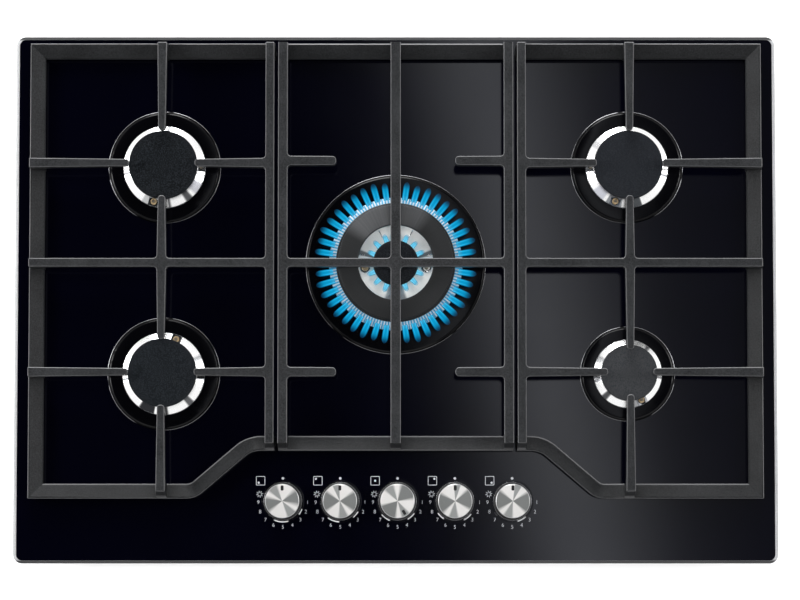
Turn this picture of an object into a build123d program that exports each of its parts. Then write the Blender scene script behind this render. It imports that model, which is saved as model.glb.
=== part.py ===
"""Five-burner gas cooktop, 75 cm wide: a black glass top over a pressed steel casing.

Frame: X to the right, Y to the rear, Z up, origin under the middle of the casing floor.
Lengths are millimetres and angles are degrees. Burner and knob angles are counted
clockwise from the rear, as a cook reads a dial.
"""

import os
from dataclasses import dataclass
from math import atan2, cos, degrees, radians, sin, tan

from build123d import *

os.makedirs("parts", exist_ok=True)

# ---------------------------------------------------------------- driving dimensions

# glass, trim, seal and casing
top_length = 750.0
top_depth = 520.0
top_corner = 9.0
glass_thickness = 6.0
trim_wall = 1.2
trim_lip_width = 3.0
trim_lip_thickness = 0.8
trim_round = 1.4
seal_width = 8.0
seal_thickness = 2.5
seal_inset = 5.0
casing_length = 550.0
casing_depth = 470.0
casing_height = 45.0
casing_sheet = 1.0
casing_corner = 8.0
casing_flange = 4.0
inlet_notch = 45.0

# heights over the glass
support_height = 46.0
bar_depth = 14.0
rail_height = 22.0
rail_inner_height = 14.0
rail_clearance = 4.0
knob_height = 24.0
knob_gap = 3.8
press_travel = 3.0

# pan supports
rail_width = 14.5
rail_edge = 1.2
rail_outer_x = 359.0
rail_rear_y = 250.3
rail_front_y = 196.5
rail_middle_y = 149.9
bend_outer_x = 195.4
bend_inner_x = 140.6
bend_radius = 24.0
bar_width = 9.3
bar_tip_width = 7.0
bar_round = 1.1
side_bar_x = 122.7
side_bar_width = 8.5
centre_side_bar_x = 110.0
centre_bar_width = 9.9
cross_bar_shift = 4.5
junction_round = 3.5
haunch_round = 10.0
bar_end_slope = 2.0
bar_front_slope = 7.0
centre_rear_finger_shift = 2.0
rail_foot_edge = 1.0
tip_reach = 32.0
small_tip_reach = 22.0
tip_rise = 6.0
tip_taper_length = 34.0
side_finger_tip_x = 58.0
wok_dip_radius = 64.0
foot_radius = 5.0
foot_stem_radius = 2.4
foot_stem_length = 5.0

# burners
burner_side_inset = 47.0
burner_rear_inset = 105.0
burner_front_inset = 161.0
wok_burner_shift = 6.0
large_cap_radius = 33.0
large_crown_radius = 40.25
large_skirt_radius = 55.0
large_well_radius = 22.0
large_ports = 28
small_cap_radius = 27.0
small_crown_radius = 33.25
small_skirt_radius = 46.3
small_well_radius = 18.0
small_ports = 24
wok_cap_radius = 58.5
wok_crown_radius = 65.5
wok_skirt_radius = 88.2
wok_well_radius = 23.0
wok_ports = 44
wok_inner_ports = 16
wok_ring_inner_radius = 36.75
wok_inner_cap_radius = 22.25
wok_plug_radius = 30.5
bowl_gap = 0.75
gasket_thickness = 1.0
cup_flange_thickness = 1.5
cup_flange_width = 8.0
cup_wall = 2.0
cup_depth = 10.5
cup_floor_thickness = 2.5
cup_base = 17.0
cup_standing = 10.0
cup_screw_offset = 6.0
gallery_depth = 1.0
well_lip_drop = 3.5
glass_hole_gap = 1.0
skirt_sheet = 1.2
skirt_shoulder = 3.4
skirt_edge_height = 0.6
skirt_hole_gap = 0.5
crown_plate = 2.5
crown_height = 19.5
crown_wall = 3.0
cone_foot = 2.5
cone_drop = 13.5
cone_ledge = 0.6
port_width = 1.8
port_height = 5.5
first_port_angle = 7.0
ring_depth = 6.0
ring_wall = 2.6
cap_thickness = 6.0
cap_crown = 1.0
cap_round = 2.2
cap_overhang = 1.0
cap_rim_depth = 1.5
wok_channel_width = 13.0
wok_deck_height = 9.5
wok_deck = 3.0
wok_inner_port_height = 5.0
wok_inner_cap_thickness = 5.0
plug_radius = 3.0
plug_top = 6.5
plug_bottom = -21.0
plug_collar = 1.4
plug_inset = 4.3
pin_radius = 0.8
pin_length = 5.5
probe_radius = 1.9
probe_top = 8.0
probe_bottom = -15.0
notch_width = 10.0
pin_reach = 3.0
pin_tip_height = 1.2
pin_tip_width = 0.7
wok_fitting_drop = 2.0
boss_radius = 5.0
boss_height = 3.0

# gas train
manifold_radius = 7.0
manifold_bore = 5.5
manifold_front_inset = 13.0
manifold_side_inset = 11.0
manifold_z = 25.0
manifold_left_x = -132.0
pipe_radius = 4.0
pipe_bore = 3.0
pipe_z = 19.0
pipe_bend = 30.0
pipe_socket = 4.0
tap_feed_radius = 2.0
saddle_radius = 9.0
cradle_radius = 5.0
cradle_offset = 15.5
cradle_side_ys = (-120.0, 20.0, 150.0)
manifold_corner = 26.0
manifold_offset_radius = 18.0
manifold_offset_start_run = 47.0
manifold_offset_end_run = 22.0
manifold_grip = 3.0
injector_radius = 4.5
injector_hex = 6.5
injector_hex_height = 5.0
injector_nose = 4.0
injector_thread = 3.0
injector_bore = 0.6
inlet_side_inset = 25.0
inlet_rear_inset = 23.0
inlet_thread_radius = 10.48
inlet_thread_length = 14.0
inlet_thread_chamfer = 1.0
inlet_body_radius = 13.0
inlet_bore = 7.0
inlet_crown = 4.0
inlet_hex_height = 5.0

# taps and knobs
knob_pitch = 56.2
knob_middle_x = 1.8
knob_front_inset = 36.0
tap_length = 24.0
tap_depth = 26.0
tap_bottom = 10.0
tap_height = 28.0
taper_bottom = 13.0
taper_height = 14.0
taper_small_radius = 4.5
taper_large_radius = 6.5
plug_port_radius = 1.2
tap_corner = 3.0
chamber_radius = 7.3
bonnet_thickness = 2.0
spindle_radius = 3.0
spindle_flat = 2.2
spindle_flat_past = 1.0
spindle_bottom = 22.0
spindle_reach = 16.0
spindle_chamfer = 0.4
collar_radius = 5.6
collar_thickness = 1.6
collar_gap = 0.4
spring_wire = 0.8
spring_radius = 4.4
spring_turns = 3.5
knob_radius = 18.9
knob_face_radius = 16.9
knob_foot = 2.2
knob_step = 0.8
knob_face_taper = 0.4
knob_wall = 2.2
knob_hub_radius = 6.0
knob_face_edge = 0.6
pointer_width = 2.4
pointer_length = 4.5
pointer_depth = 0.5
pointer_radius = 12.7
lit_knob_turn = 210.0
stem_hole_radius = 8.0
stem_lip = 2.4
stem_lip_thickness = 1.4

# ignition and mains
lead_radius = 1.5
probe_lead_radius = 1.0
probe_lead_z = 34.0
lead_bend = 16.0
drop_bend = 6.0
generator_length = 84.0
generator_depth = 40.0
generator_height = 26.0
generator_front_inset = 50.0
generator_corner = 4.0
generator_round = 1.5
post_pitch = 16.0
post_radius = 3.0
post_length = 8.0
post_run = 24.0
terminal_length = 50.0
terminal_depth = 26.0
terminal_height = 20.0
terminal_side_inset = 105.0
terminal_rear_inset = 45.0
terminal_corner = 2.0
terminal_screw_radius = 3.4
terminal_screw_depth = 6.0
terminal_wire_radius = 2.2
terminal_wire_z = 9.0
gland_z = 20.0
gland_bore = 4.2
gland_neck = 7.0
gland_flange = 10.0
gland_flange_thickness = 3.0
gland_reach = 8.0
gland_taper = 8.0
switch_gap = 1.0
switch_length = 11.0
switch_depth = 7.0
switch_height = 3.2
switch_lead_radius = 1.1

# fasteners
screw_radius = 2.0
screw_head_radius = 3.8
screw_head_height = 2.4
screw_slot_length = 4.4
screw_slot_width = 1.0
screw_slot_depth = 1.4
screw_past_nut = 4.0
clip_screw_head_height = 1.4
clip_screw_past = 6.0
clip_width = 18.0
clip_sheet = 1.0
clip_bulge = 2.0
clip_top = 40.0
clip_bottom = 10.0
clip_corner_inset = 85.0
clip_screw_z = 36.0
clip_bend_z = 30.0
clip_bulge_z = 23.0

# clearances
running = 0.05
loose = 0.3

# ---------------------------------------------------------------- derived places

glass_bottom = casing_height
glass_top_z = glass_bottom + glass_thickness
support_top = glass_top_z + support_height
bar_bottom = support_top - bar_depth
rail_bottom = glass_top_z + rail_clearance
crown_seat = glass_top_z + gasket_thickness + cup_flange_thickness
crown_top = crown_seat + crown_height
tap_top = tap_bottom + tap_height
taper_top = taper_bottom + taper_height
collar_bottom = tap_top - collar_thickness - collar_gap
cup_base_top = cup_standing + cup_base
cup_floor = glass_top_z - cup_depth
ignition_floor = casing_sheet + lead_radius + running
outer_burner_x = casing_length / 2 - burner_side_inset
rear_burner_y = casing_depth / 2 - burner_rear_inset
front_burner_y = burner_front_inset - casing_depth / 2
wok_burner_y = (rear_burner_y + front_burner_y) / 2 + wok_burner_shift
cross_bar_y = (rear_burner_y + front_burner_y) / 2 + cross_bar_shift
knob_y = knob_front_inset - casing_depth / 2
manifold_y = manifold_front_inset - casing_depth / 2
manifold_side_x = casing_length / 2 - manifold_side_inset
inlet_x = casing_length / 2 - inlet_side_inset
inlet_y = casing_depth / 2 - inlet_rear_inset
manifold_offset_start = inlet_y - manifold_offset_start_run
manifold_offset_end = inlet_y - manifold_offset_end_run
generator_front_y = casing_depth / 2 - generator_front_inset
terminal_x = terminal_side_inset - casing_length / 2
terminal_y = casing_depth / 2 - terminal_rear_inset
gland_x = terminal_x
clip_y = casing_depth / 2 - clip_corner_inset


@dataclass(frozen=True)
class Burner:
    """One burner: its place, its radii and the angles of its igniter and flame probe."""

    name: str
    x: float
    y: float
    cap_radius: float
    crown_radius: float
    skirt_radius: float
    well_radius: float
    plug_angle: float
    probe_angle: float
    ports: int

    @property
    def bowl_radius(self):
        return self.crown_radius + bowl_gap

    @property
    def hole_radius(self):
        return self.bowl_radius + glass_hole_gap

    @property
    def flange_radius(self):
        return self.hole_radius + cup_flange_width

    @property
    def port_radius(self):
        return self.cap_radius - cap_overhang

    def at(self, z):
        """Level plane over the burner at height z."""
        return Plane((self.x, self.y, z))

    @property
    def section(self):
        """Upright plane through the burner, local x outwards and local y up."""
        return Plane(origin=(self.x, self.y, 0), x_dir=(1, 0, 0), z_dir=(0, -1, 0))

    @property
    def axis(self):
        return Axis((self.x, self.y, 0), (0, 0, 1))

    def round_point(self, radius, angle):
        """Point at a radius and a clockwise angle from the rear."""
        return (self.x + radius * sin(radians(angle)), self.y + radius * cos(radians(angle)))


large = (large_cap_radius, large_crown_radius, large_skirt_radius, large_well_radius)
small = (small_cap_radius, small_crown_radius, small_skirt_radius, small_well_radius)
middle = (wok_cap_radius, wok_crown_radius, wok_skirt_radius, wok_well_radius)
rear_left = Burner("rear_left", -outer_burner_x, rear_burner_y, *large, 197.0, 90.0, large_ports)
front_left = Burner("front_left", -outer_burner_x, front_burner_y, *large, 20.0, 90.0, large_ports)
rear_right = Burner("rear_right", outer_burner_x, rear_burner_y, *large, 199.0, 270.0, large_ports)
front_right = Burner("front_right", outer_burner_x, front_burner_y, *small, 153.0, 270.0, small_ports)
wok = Burner("wok", 0.0, wok_burner_y, *middle, 262.0, 98.0, wok_ports)
outer_burners = [rear_left, front_left, rear_right, front_right]
burners = outer_burners + [wok]


def fitting_radius(burner):
    """Radius at which a burner's igniter and flame probe stand."""
    if burner is wok:
        return wok_plug_radius
    return burner.crown_radius - plug_inset


@dataclass(frozen=True)
class Tap:
    """One tap: its number, its x and the burner that it feeds."""

    number: int
    burner: Burner

    @property
    def x(self):
        return knob_middle_x + (self.number - 3) * knob_pitch

    @property
    def turn(self):
        """How far the knob, spindle and plug stand from off, counter-clockwise."""
        return lit_knob_turn if self.burner is wok else 0.0

    def at(self, z):
        """Level plane over the tap at height z."""
        return Plane((self.x, knob_y, z))

    def turned(self, z):
        """The same plane, turned with the knob."""
        return self.at(z).rotated((0, 0, self.turn))

    @property
    def section(self):
        return Plane(origin=(self.x, knob_y, 0), x_dir=(1, 0, 0), z_dir=(0, -1, 0))

    @property
    def axis(self):
        return Axis((self.x, knob_y, 0), (0, 0, 1))


taps = [Tap(n + 1, b) for n, b in enumerate([front_left, rear_left, wok, rear_right, front_right])]


def write(part, name):
    """Label a finished piece and write its STEP file."""
    part.label = name
    export_step(part, f"parts/{name}.step")


def spun(burner, points):
    """Solid turned round a burner's or tap's axis from its half section, given as (radius, z)."""
    with BuildPart() as turned:
        with BuildSketch(burner.section):
            with BuildLine():
                Polyline(*points, close=True)
            make_face()
        revolve(axis=burner.axis)
    return turned.part


# ---------------------------------------------------------------- glass, trim, seal

with BuildPart() as glass_top:
    with BuildSketch(Plane.XY.offset(glass_bottom)):
        RectangleRounded(top_length - 2 * trim_wall, top_depth - 2 * trim_wall, top_corner - trim_wall)
        for burner in burners:
            with Locations((burner.x, burner.y)):
                Circle(burner.hole_radius, mode=Mode.SUBTRACT)
        for tap in taps:
            with Locations((tap.x, knob_y)):
                Circle(stem_hole_radius, mode=Mode.SUBTRACT)
    extrude(amount=glass_thickness)
write(glass_top.part, "glass_top")

with BuildPart() as edge_trim:
    with BuildSketch(Plane.XY.offset(glass_bottom - trim_lip_thickness)):
        RectangleRounded(top_length, top_depth, top_corner)
    extrude(amount=glass_thickness + 2 * trim_lip_thickness)
    fillet(edge_trim.faces().sort_by(Axis.Z)[-1].edges(), trim_round)
    with BuildSketch(Plane.XY.offset(glass_bottom)):
        RectangleRounded(top_length - 2 * trim_wall, top_depth - 2 * trim_wall, top_corner - trim_wall)
    extrude(amount=glass_thickness, mode=Mode.SUBTRACT)
    with BuildSketch(Plane.XY.offset(glass_bottom - trim_lip_thickness)):
        RectangleRounded(
            top_length - 2 * trim_lip_width, top_depth - 2 * trim_lip_width, top_corner - trim_lip_width
        )
    extrude(amount=glass_thickness + 2 * trim_lip_thickness, mode=Mode.SUBTRACT)
write(edge_trim.part, "edge_trim")

with BuildPart() as sealing_strip:
    with BuildSketch(Plane.XY.offset(glass_bottom - seal_thickness)):
        RectangleRounded(top_length - 2 * seal_inset, top_depth - 2 * seal_inset, top_corner)
        RectangleRounded(
            top_length - 2 * (seal_inset + seal_width),
            top_depth - 2 * (seal_inset + seal_width),
            top_corner / 2,
            mode=Mode.SUBTRACT,
        )
    extrude(amount=seal_thickness)
write(sealing_strip.part, "sealing_strip")

# ---------------------------------------------------------------- casing


def cup_screw_places(burner):
    """The two screw axes of a burner cup, left and right of its injector."""
    reach = burner.well_radius - cup_screw_offset
    return [(burner.x - reach * cos(radians(45)), burner.y - reach * sin(radians(45))),
            (burner.x + reach * cos(radians(45)), burner.y + reach * sin(radians(45)))]


cradle_places = [(taps[0].x - cradle_offset, manifold_y), (taps[-1].x + knob_pitch, manifold_y)]
cradle_places += [(manifold_side_x, y) for y in cradle_side_ys]

with BuildPart() as bottom_casing:
    with BuildSketch() as casing_outline:
        Rectangle(casing_length, casing_depth)
        with Locations(((casing_length - inlet_notch) / 2, (casing_depth - inlet_notch) / 2)):
            Rectangle(inlet_notch, inlet_notch, mode=Mode.SUBTRACT)
        fillet(casing_outline.vertices(), casing_corner)
    extrude(amount=casing_height)
    with BuildSketch(Plane.XY.offset(casing_sheet)):
        offset(casing_outline.sketch, amount=-casing_sheet)
    extrude(amount=casing_height, mode=Mode.SUBTRACT)
    with BuildSketch(Plane.XY.offset(casing_height - casing_sheet)):
        offset(casing_outline.sketch, amount=casing_flange)
        add(casing_outline.sketch, mode=Mode.SUBTRACT)
    extrude(amount=casing_sheet)
    # hollow bosses that carry the burner cups
    for burner in burners:
        with BuildSketch(burner.at(0)):
            Circle(burner.well_radius)
        extrude(amount=cup_standing)
        with BuildSketch(burner.at(0)):
            Circle(burner.well_radius - casing_sheet)
        extrude(amount=cup_standing - casing_sheet, mode=Mode.SUBTRACT)
        for x, y in cup_screw_places(burner):
            with BuildSketch(Plane((x, y, 0))):
                Circle(screw_radius + running)
            extrude(amount=cup_standing, mode=Mode.SUBTRACT)
    # posts under the taps and the gas rail
    for tap in taps:
        with BuildSketch(tap.at(casing_sheet)):
            Circle(cradle_radius)
        extrude(amount=tap_bottom - casing_sheet)
    for x, y in cradle_places:
        with BuildSketch(Plane((x, y, casing_sheet))):
            Circle(cradle_radius)
        extrude(amount=manifold_z - manifold_radius - casing_sheet)
    # passages for the gas rail, the cable gland and the clip screws
    with BuildSketch(Plane((0, (casing_depth - 2 * inlet_notch) / 2, 0), x_dir=(1, 0, 0), z_dir=(0, -1, 0))):
        with Locations((inlet_x, manifold_z)):
            Circle(manifold_radius + manifold_grip)
    extrude(amount=inlet_notch, both=True, mode=Mode.SUBTRACT)
    with BuildSketch(Plane((gland_x, casing_depth / 2, gland_z), x_dir=(1, 0, 0), z_dir=(0, -1, 0))):
        Circle(gland_neck + running)
    extrude(amount=2 * casing_sheet, both=True, mode=Mode.SUBTRACT)
    with BuildSketch(Plane.YZ):
        with Locations((clip_y, clip_screw_z), (-clip_y, clip_screw_z)):
            Circle(screw_radius + running)
    extrude(amount=casing_length, both=True, mode=Mode.SUBTRACT)
write(bottom_casing.part, "bottom_casing")

# ---------------------------------------------------------------- burner cups and what they hold


def cup_body_radius(burner):
    """Outer radius of the narrow part of a burner cup."""
    return burner.well_radius + cup_floor_thickness


def burner_cup(burner):
    """Die-cast cup: a wide bowl hung in the glass, a mixing well and a base with the gas port."""
    flange_bottom = glass_top_z + gasket_thickness
    body_radius = cup_body_radius(burner)
    inner = burner.bowl_radius - cup_wall
    floor_top = cup_floor + cup_floor_thickness
    well_top = crown_seat - well_lip_drop
    points = [
        (0, cup_standing),
        (body_radius, cup_standing),
        (body_radius, cup_floor),
        (burner.bowl_radius, cup_floor),
        (burner.bowl_radius, flange_bottom),
        (burner.flange_radius, flange_bottom),
        (burner.flange_radius, crown_seat),
        (inner, crown_seat),
        (inner, floor_top),
        (body_radius, floor_top),
        (body_radius, well_top),
        (burner.well_radius, well_top),
        (burner.well_radius, cup_base_top),
        (0, cup_base_top),
    ]
    tap = next(t for t in taps if t.burner is burner)
    with BuildPart() as cup:
        add(spun(burner, points))
        # injector seat and the gallery below it
        with BuildSketch(burner.at(cup_base_top)):
            Circle(injector_radius + running)
        extrude(amount=-(cup_base_top - pipe_z + pipe_bore + gallery_depth), mode=Mode.SUBTRACT)
        # screw holes through the base
        for x, y in cup_screw_places(burner):
            with BuildSketch(Plane((x, y, cup_standing))):
                Circle(screw_radius + running)
            extrude(amount=cup_base, mode=Mode.SUBTRACT)
        # gas port, from the gallery out to the pipe
        port = pipe_port(burner, tap)
        with BuildSketch(port):
            Circle(pipe_bore)
        extrude(amount=body_radius + 1, mode=Mode.SUBTRACT)
        with BuildSketch(port.offset(body_radius - pipe_socket)):
            Circle(pipe_radius + running)
        extrude(amount=pipe_socket + 1, mode=Mode.SUBTRACT)
        # holes for the igniter and the flame probe
        reach = fitting_radius(burner)
        for angle, radius in ((burner.plug_angle, plug_radius), (burner.probe_angle, probe_radius)):
            x, y = burner.round_point(reach, angle)
            with BuildSketch(Plane((x, y, cup_floor - 1))):
                Circle(radius + loose)
            extrude(amount=glass_thickness + cup_depth, mode=Mode.SUBTRACT)
    return cup.part


def pipe_port(burner, tap):
    """Plane on the burner's axis at pipe height, facing the side where the pipe comes in."""
    if burner is wok:
        return Plane(origin=(tap.x, burner.y, pipe_z), z_dir=(0, -1, 0))
    side = 1 if burner.x < 0 else -1
    return Plane(origin=(burner.x, burner.y, pipe_z), z_dir=(side, 0, 0))


with BuildPart() as burner_cups:
    for burner in outer_burners:
        add(burner_cup(burner))
write(burner_cups.part, "burner_cups")

with BuildPart() as wok_cup:
    add(burner_cup(wok))
write(wok_cup.part, "wok_cup")

with BuildPart() as skirt_gaskets:
    for burner in burners:
        with BuildSketch(burner.at(glass_top_z)):
            Circle(burner.flange_radius)
            Circle(burner.hole_radius + loose, mode=Mode.SUBTRACT)
        extrude(amount=gasket_thickness)
write(skirt_gaskets.part, "skirt_gaskets")

with BuildPart() as injectors:
    for burner in burners:
        with BuildSketch(burner.at(cup_base_top)):
            RegularPolygon(injector_hex, 6)
        extrude(amount=injector_hex_height)
        with BuildSketch(burner.at(cup_base_top + injector_hex_height)):
            Circle(injector_radius - 1)
        extrude(amount=injector_nose, taper=15)
        with BuildSketch(burner.at(cup_base_top)):
            Circle(injector_radius)
        extrude(amount=-injector_thread)
        with BuildSketch(burner.at(cup_base_top - injector_thread)):
            Circle(injector_bore)
        extrude(amount=injector_thread + injector_hex_height + injector_nose, mode=Mode.SUBTRACT)
write(injectors.part, "injectors")

with BuildPart() as cup_screws:
    for burner in burners:
        for x, y in cup_screw_places(burner):
            with BuildSketch(Plane((x, y, cup_base_top))):
                Circle(screw_head_radius)
            extrude(amount=screw_head_height)
            with BuildSketch(Plane((x, y, cup_base_top))):
                Circle(screw_radius)
            extrude(amount=-(cup_base + casing_sheet + screw_past_nut))
            with BuildSketch(Plane((x, y, cup_base_top + screw_head_height))):
                Rectangle(screw_slot_length, screw_slot_width)
                Rectangle(screw_slot_width, screw_slot_length)
            extrude(amount=-screw_slot_depth, mode=Mode.SUBTRACT)
write(cup_screws.part, "cup_screws")


def burner_skirt(burner):
    """Enamelled ring, a shallow pan upside down that hides the cup flange."""
    top = crown_seat + skirt_sheet
    inner = burner.crown_radius + skirt_hole_gap
    outer = burner.skirt_radius
    edge_z = glass_top_z + skirt_edge_height
    shoulder = outer - skirt_shoulder
    with BuildPart() as skirt:
        with BuildSketch(burner.section):
            with BuildLine():
                Polyline((inner, crown_seat), (inner, top), (shoulder, top))
                ThreePointArc((shoulder, top), (outer - 1.0, top - 1.1), (outer, edge_z))
                Polyline(
                    (outer, edge_z),
                    (outer, glass_top_z),
                    (outer - skirt_sheet, glass_top_z),
                    (outer - skirt_sheet - 1.6, crown_seat),
                    (inner, crown_seat),
                )
            make_face()
        revolve(axis=burner.axis)
    return skirt.part


with BuildPart() as burner_skirts:
    for burner in outer_burners:
        add(burner_skirt(burner))
write(burner_skirts.part, "burner_skirts")

with BuildPart() as wok_skirt:
    add(burner_skirt(wok))
write(wok_skirt.part, "wok_skirt")

# ---------------------------------------------------------------- crowns and caps


def fitting_holes(burner):
    """Solid of the holes round a burner's igniter and flame probe, to be taken out of its crown."""
    reach = fitting_radius(burner)
    with BuildPart() as holes:
        for angle, radius in ((burner.plug_angle, plug_radius), (burner.probe_angle, probe_radius)):
            x, y = burner.round_point(reach, angle)
            with BuildSketch(Plane((x, y, crown_seat - 1))):
                Circle(radius + 2 * loose)
            extrude(amount=crown_height)
    return holes.part


def outer_crown(burner):
    """Crown of an outer burner: locating ring, base plate, slotted wall and a bright cone."""
    port_radius = burner.port_radius
    inner = port_radius - crown_wall
    plate_top = crown_seat + crown_plate
    ring_radius = burner.well_radius - loose
    points = [
        (ring_radius - ring_wall, crown_seat - ring_depth),
        (ring_radius, crown_seat - ring_depth),
        (ring_radius, crown_seat),
        (burner.crown_radius, crown_seat),
        (burner.crown_radius, crown_seat + cone_foot),
        (burner.cap_radius + cone_ledge, crown_top - cone_drop),
        (port_radius, crown_top - cone_drop + cone_ledge),
        (port_radius, crown_top),
        (inner, crown_top),
        (inner, plate_top),
        (ring_radius - ring_wall, plate_top),
    ]
    with BuildPart() as crown:
        add(spun(burner, points))
        with BuildSketch(burner.at(crown_top - port_height)):
            with PolarLocations(port_radius - crown_wall / 2, burner.ports, start_angle=first_port_angle):
                Rectangle(crown_wall + 1.6, port_width)
        extrude(amount=port_height, mode=Mode.SUBTRACT)
        for angle in (burner.plug_angle, burner.probe_angle):
            x, y = burner.round_point(port_radius + notch_width / 2 + 1.2, angle)
            with BuildSketch(Plane((x, y, plate_top)).rotated((0, 0, -angle))):
                Rectangle(notch_width, notch_width)
            extrude(amount=crown_height, mode=Mode.SUBTRACT)
        add(fitting_holes(burner), mode=Mode.SUBTRACT)
    return crown.part


def domed_cap(burner, radius, rim, seat, thickness):
    """Enamelled cap: flat underside with a drop-in rim, rounded edge, slightly domed top."""
    top = seat + thickness
    edge_z = top - cap_crown
    dome_radius = (radius * radius + cap_crown * cap_crown) / (2 * cap_crown)
    middle_z = top - dome_radius + (dome_radius * dome_radius - radius * radius / 4) ** 0.5
    with BuildPart() as cap:
        with BuildSketch(burner.section) as half:
            with BuildLine():
                Polyline(
                    (0, top),
                    (0, seat - cap_rim_depth),
                    (rim, seat - cap_rim_depth),
                    (rim, seat),
                    (radius, seat),
                    (radius, edge_z),
                )
                ThreePointArc((radius, edge_z), (radius / 2, middle_z), (0, top))
            make_face()
            fillet(half.vertices().sort_by_distance((radius, edge_z, 0))[0], cap_round)
        revolve(axis=burner.axis)
    return cap.part


for burner in outer_burners:
    write(outer_crown(burner), f"crown_{burner.name}")
    rim = burner.port_radius - crown_wall - loose
    write(domed_cap(burner, burner.cap_radius, rim, crown_top, cap_thickness), f"cap_{burner.name}")

wok_channel_inner = wok.port_radius - crown_wall - wok_channel_width
wok_ring_wall_inner = wok_ring_inner_radius + cap_overhang
wok_deck_z = crown_seat + wok_deck_height
wok_inner_port_radius = wok_inner_cap_radius - 2.2
wok_inner_top = wok_deck_z + wok_inner_port_height

with BuildPart() as wok_crown:
    ring_radius = wok.well_radius - loose
    add(
        spun(
            wok,
            [
                (ring_radius - ring_wall, crown_seat - ring_depth),
                (ring_radius, crown_seat - ring_depth),
                (ring_radius, crown_seat),
                (wok.crown_radius, crown_seat),
                (wok.crown_radius, crown_seat + cone_foot),
                (wok.cap_radius + cone_ledge, crown_top - cone_drop),
                (wok.port_radius, crown_top - cone_drop + cone_ledge),
                (wok.port_radius, crown_top),
                (wok.port_radius - crown_wall, crown_top),
                (wok.port_radius - crown_wall, crown_seat + crown_plate),
                (wok_channel_inner, crown_seat + crown_plate),
                (wok_channel_inner, crown_top),
                (wok_ring_wall_inner, crown_top),
                (wok_ring_wall_inner, wok_deck_z),
                (wok_inner_port_radius, wok_deck_z),
                (wok_inner_port_radius, wok_inner_top),
                (wok_inner_port_radius - crown_wall, wok_inner_top),
                (wok_inner_port_radius - crown_wall, wok_deck_z - wok_deck),
                (wok_ring_wall_inner, wok_deck_z - wok_deck),
                (wok_ring_wall_inner, crown_seat + crown_plate),
                (ring_radius - ring_wall, crown_seat + crown_plate),
            ],
        )
    )
    with BuildSketch(wok.at(crown_top - port_height)):
        with PolarLocations(wok.port_radius - crown_wall / 2, wok.ports, start_angle=180 / wok.ports):
            Rectangle(crown_wall + 1.6, port_width)
    extrude(amount=port_height, mode=Mode.SUBTRACT)
    with BuildSketch(wok.at(wok_inner_top - wok_inner_port_height + 1)):
        first = 180 / wok_inner_ports
        with PolarLocations(wok_inner_port_radius - crown_wall / 2, wok_inner_ports, start_angle=first):
            Rectangle(crown_wall + 1, port_width)
    extrude(amount=wok_inner_port_height, mode=Mode.SUBTRACT)
    # boss at the front of the deck
    boss_x, boss_y = wok.round_point(wok_plug_radius, 180)
    with BuildSketch(Plane((boss_x, boss_y, wok_deck_z - 1))):
        Circle(boss_radius)
    extrude(amount=boss_height + 1)
    add(fitting_holes(wok), mode=Mode.SUBTRACT)
write(wok_crown.part, "wok_crown")

with BuildPart() as wok_outer_cap:
    top = crown_top + cap_thickness
    rim = wok.port_radius - crown_wall - loose
    with BuildSketch(wok.section) as half:
        with BuildLine():
            Polyline(
                (wok_ring_inner_radius, top - cap_crown),
                (wok_ring_inner_radius, crown_top),
                (wok_channel_inner + loose, crown_top),
                (wok_channel_inner + loose, crown_top - cap_rim_depth),
                (rim, crown_top - cap_rim_depth),
                (rim, crown_top),
                (wok.cap_radius, crown_top),
                (wok.cap_radius, top - cap_crown),
            )
            ThreePointArc(
                (wok.cap_radius, top - cap_crown),
                ((wok.cap_radius + wok_ring_inner_radius) / 2, top),
                (wok_ring_inner_radius, top - cap_crown),
            )
        make_face()
        for radius in (wok_ring_inner_radius, wok.cap_radius):
            fillet(half.vertices().sort_by_distance((radius, top - cap_crown, 0))[0], cap_round)
    revolve(axis=wok.axis)
write(wok_outer_cap.part, "wok_outer_cap")

rim = wok_inner_port_radius - crown_wall - loose
wok_inner_cap = domed_cap(wok, wok_inner_cap_radius, rim, wok_inner_top, wok_inner_cap_thickness)
write(wok_inner_cap, "wok_inner_cap")

# ---------------------------------------------------------------- igniters and flame probes


def fitting_lift(burner):
    """How much higher the wok burner's igniter and probe stand, because they clear its deck."""
    return wok_deck_height - wok_fitting_drop if burner is wok else 0.0


with BuildPart() as spark_plugs:
    for burner in burners:
        x, y = burner.round_point(fitting_radius(burner), burner.plug_angle)
        top = glass_top_z + plug_top + fitting_lift(burner)
        with BuildSketch(Plane((x, y, glass_top_z + plug_bottom))):
            Circle(plug_radius)
        extrude(amount=top - glass_top_z - plug_bottom)
        with BuildSketch(Plane((x, y, cup_floor))):
            Circle(plug_radius + plug_collar)
        extrude(amount=-2)
        with BuildSketch(Plane((x, y, top - pin_length))):
            Circle(pin_radius + running)
        extrude(amount=pin_length, mode=Mode.SUBTRACT)
write(spark_plugs.part, "spark_plugs")

with BuildPart() as spark_pins:
    for burner in burners:
        x, y = burner.round_point(fitting_radius(burner), burner.plug_angle)
        top = glass_top_z + plug_top + fitting_lift(burner)
        with BuildSketch(Plane((x, y, top - pin_length))):
            Circle(pin_radius)
        extrude(amount=pin_length + pin_reach)
        with BuildSketch(Plane((x, y, top + pin_reach))):
            Circle(pin_radius + pin_tip_width)
        extrude(amount=pin_tip_height)
write(spark_pins.part, "spark_pins")


def rounded_path(points, radii):
    """Path of straight runs joined by tangent arcs."""
    with BuildLine() as path:
        FilletPolyline(*points, radius=radii)
    return path.line


def tube(points, radii, radius, bore=0.0):
    """Tube or wire of one radius along a rounded path."""
    path = rounded_path(points, radii)
    with BuildPart() as swept:
        with BuildSketch(Plane(origin=path @ 0, z_dir=path % 0)):
            Circle(radius)
            if bore:
                Circle(bore, mode=Mode.SUBTRACT)
        sweep(path=path)
    return swept.part


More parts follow.
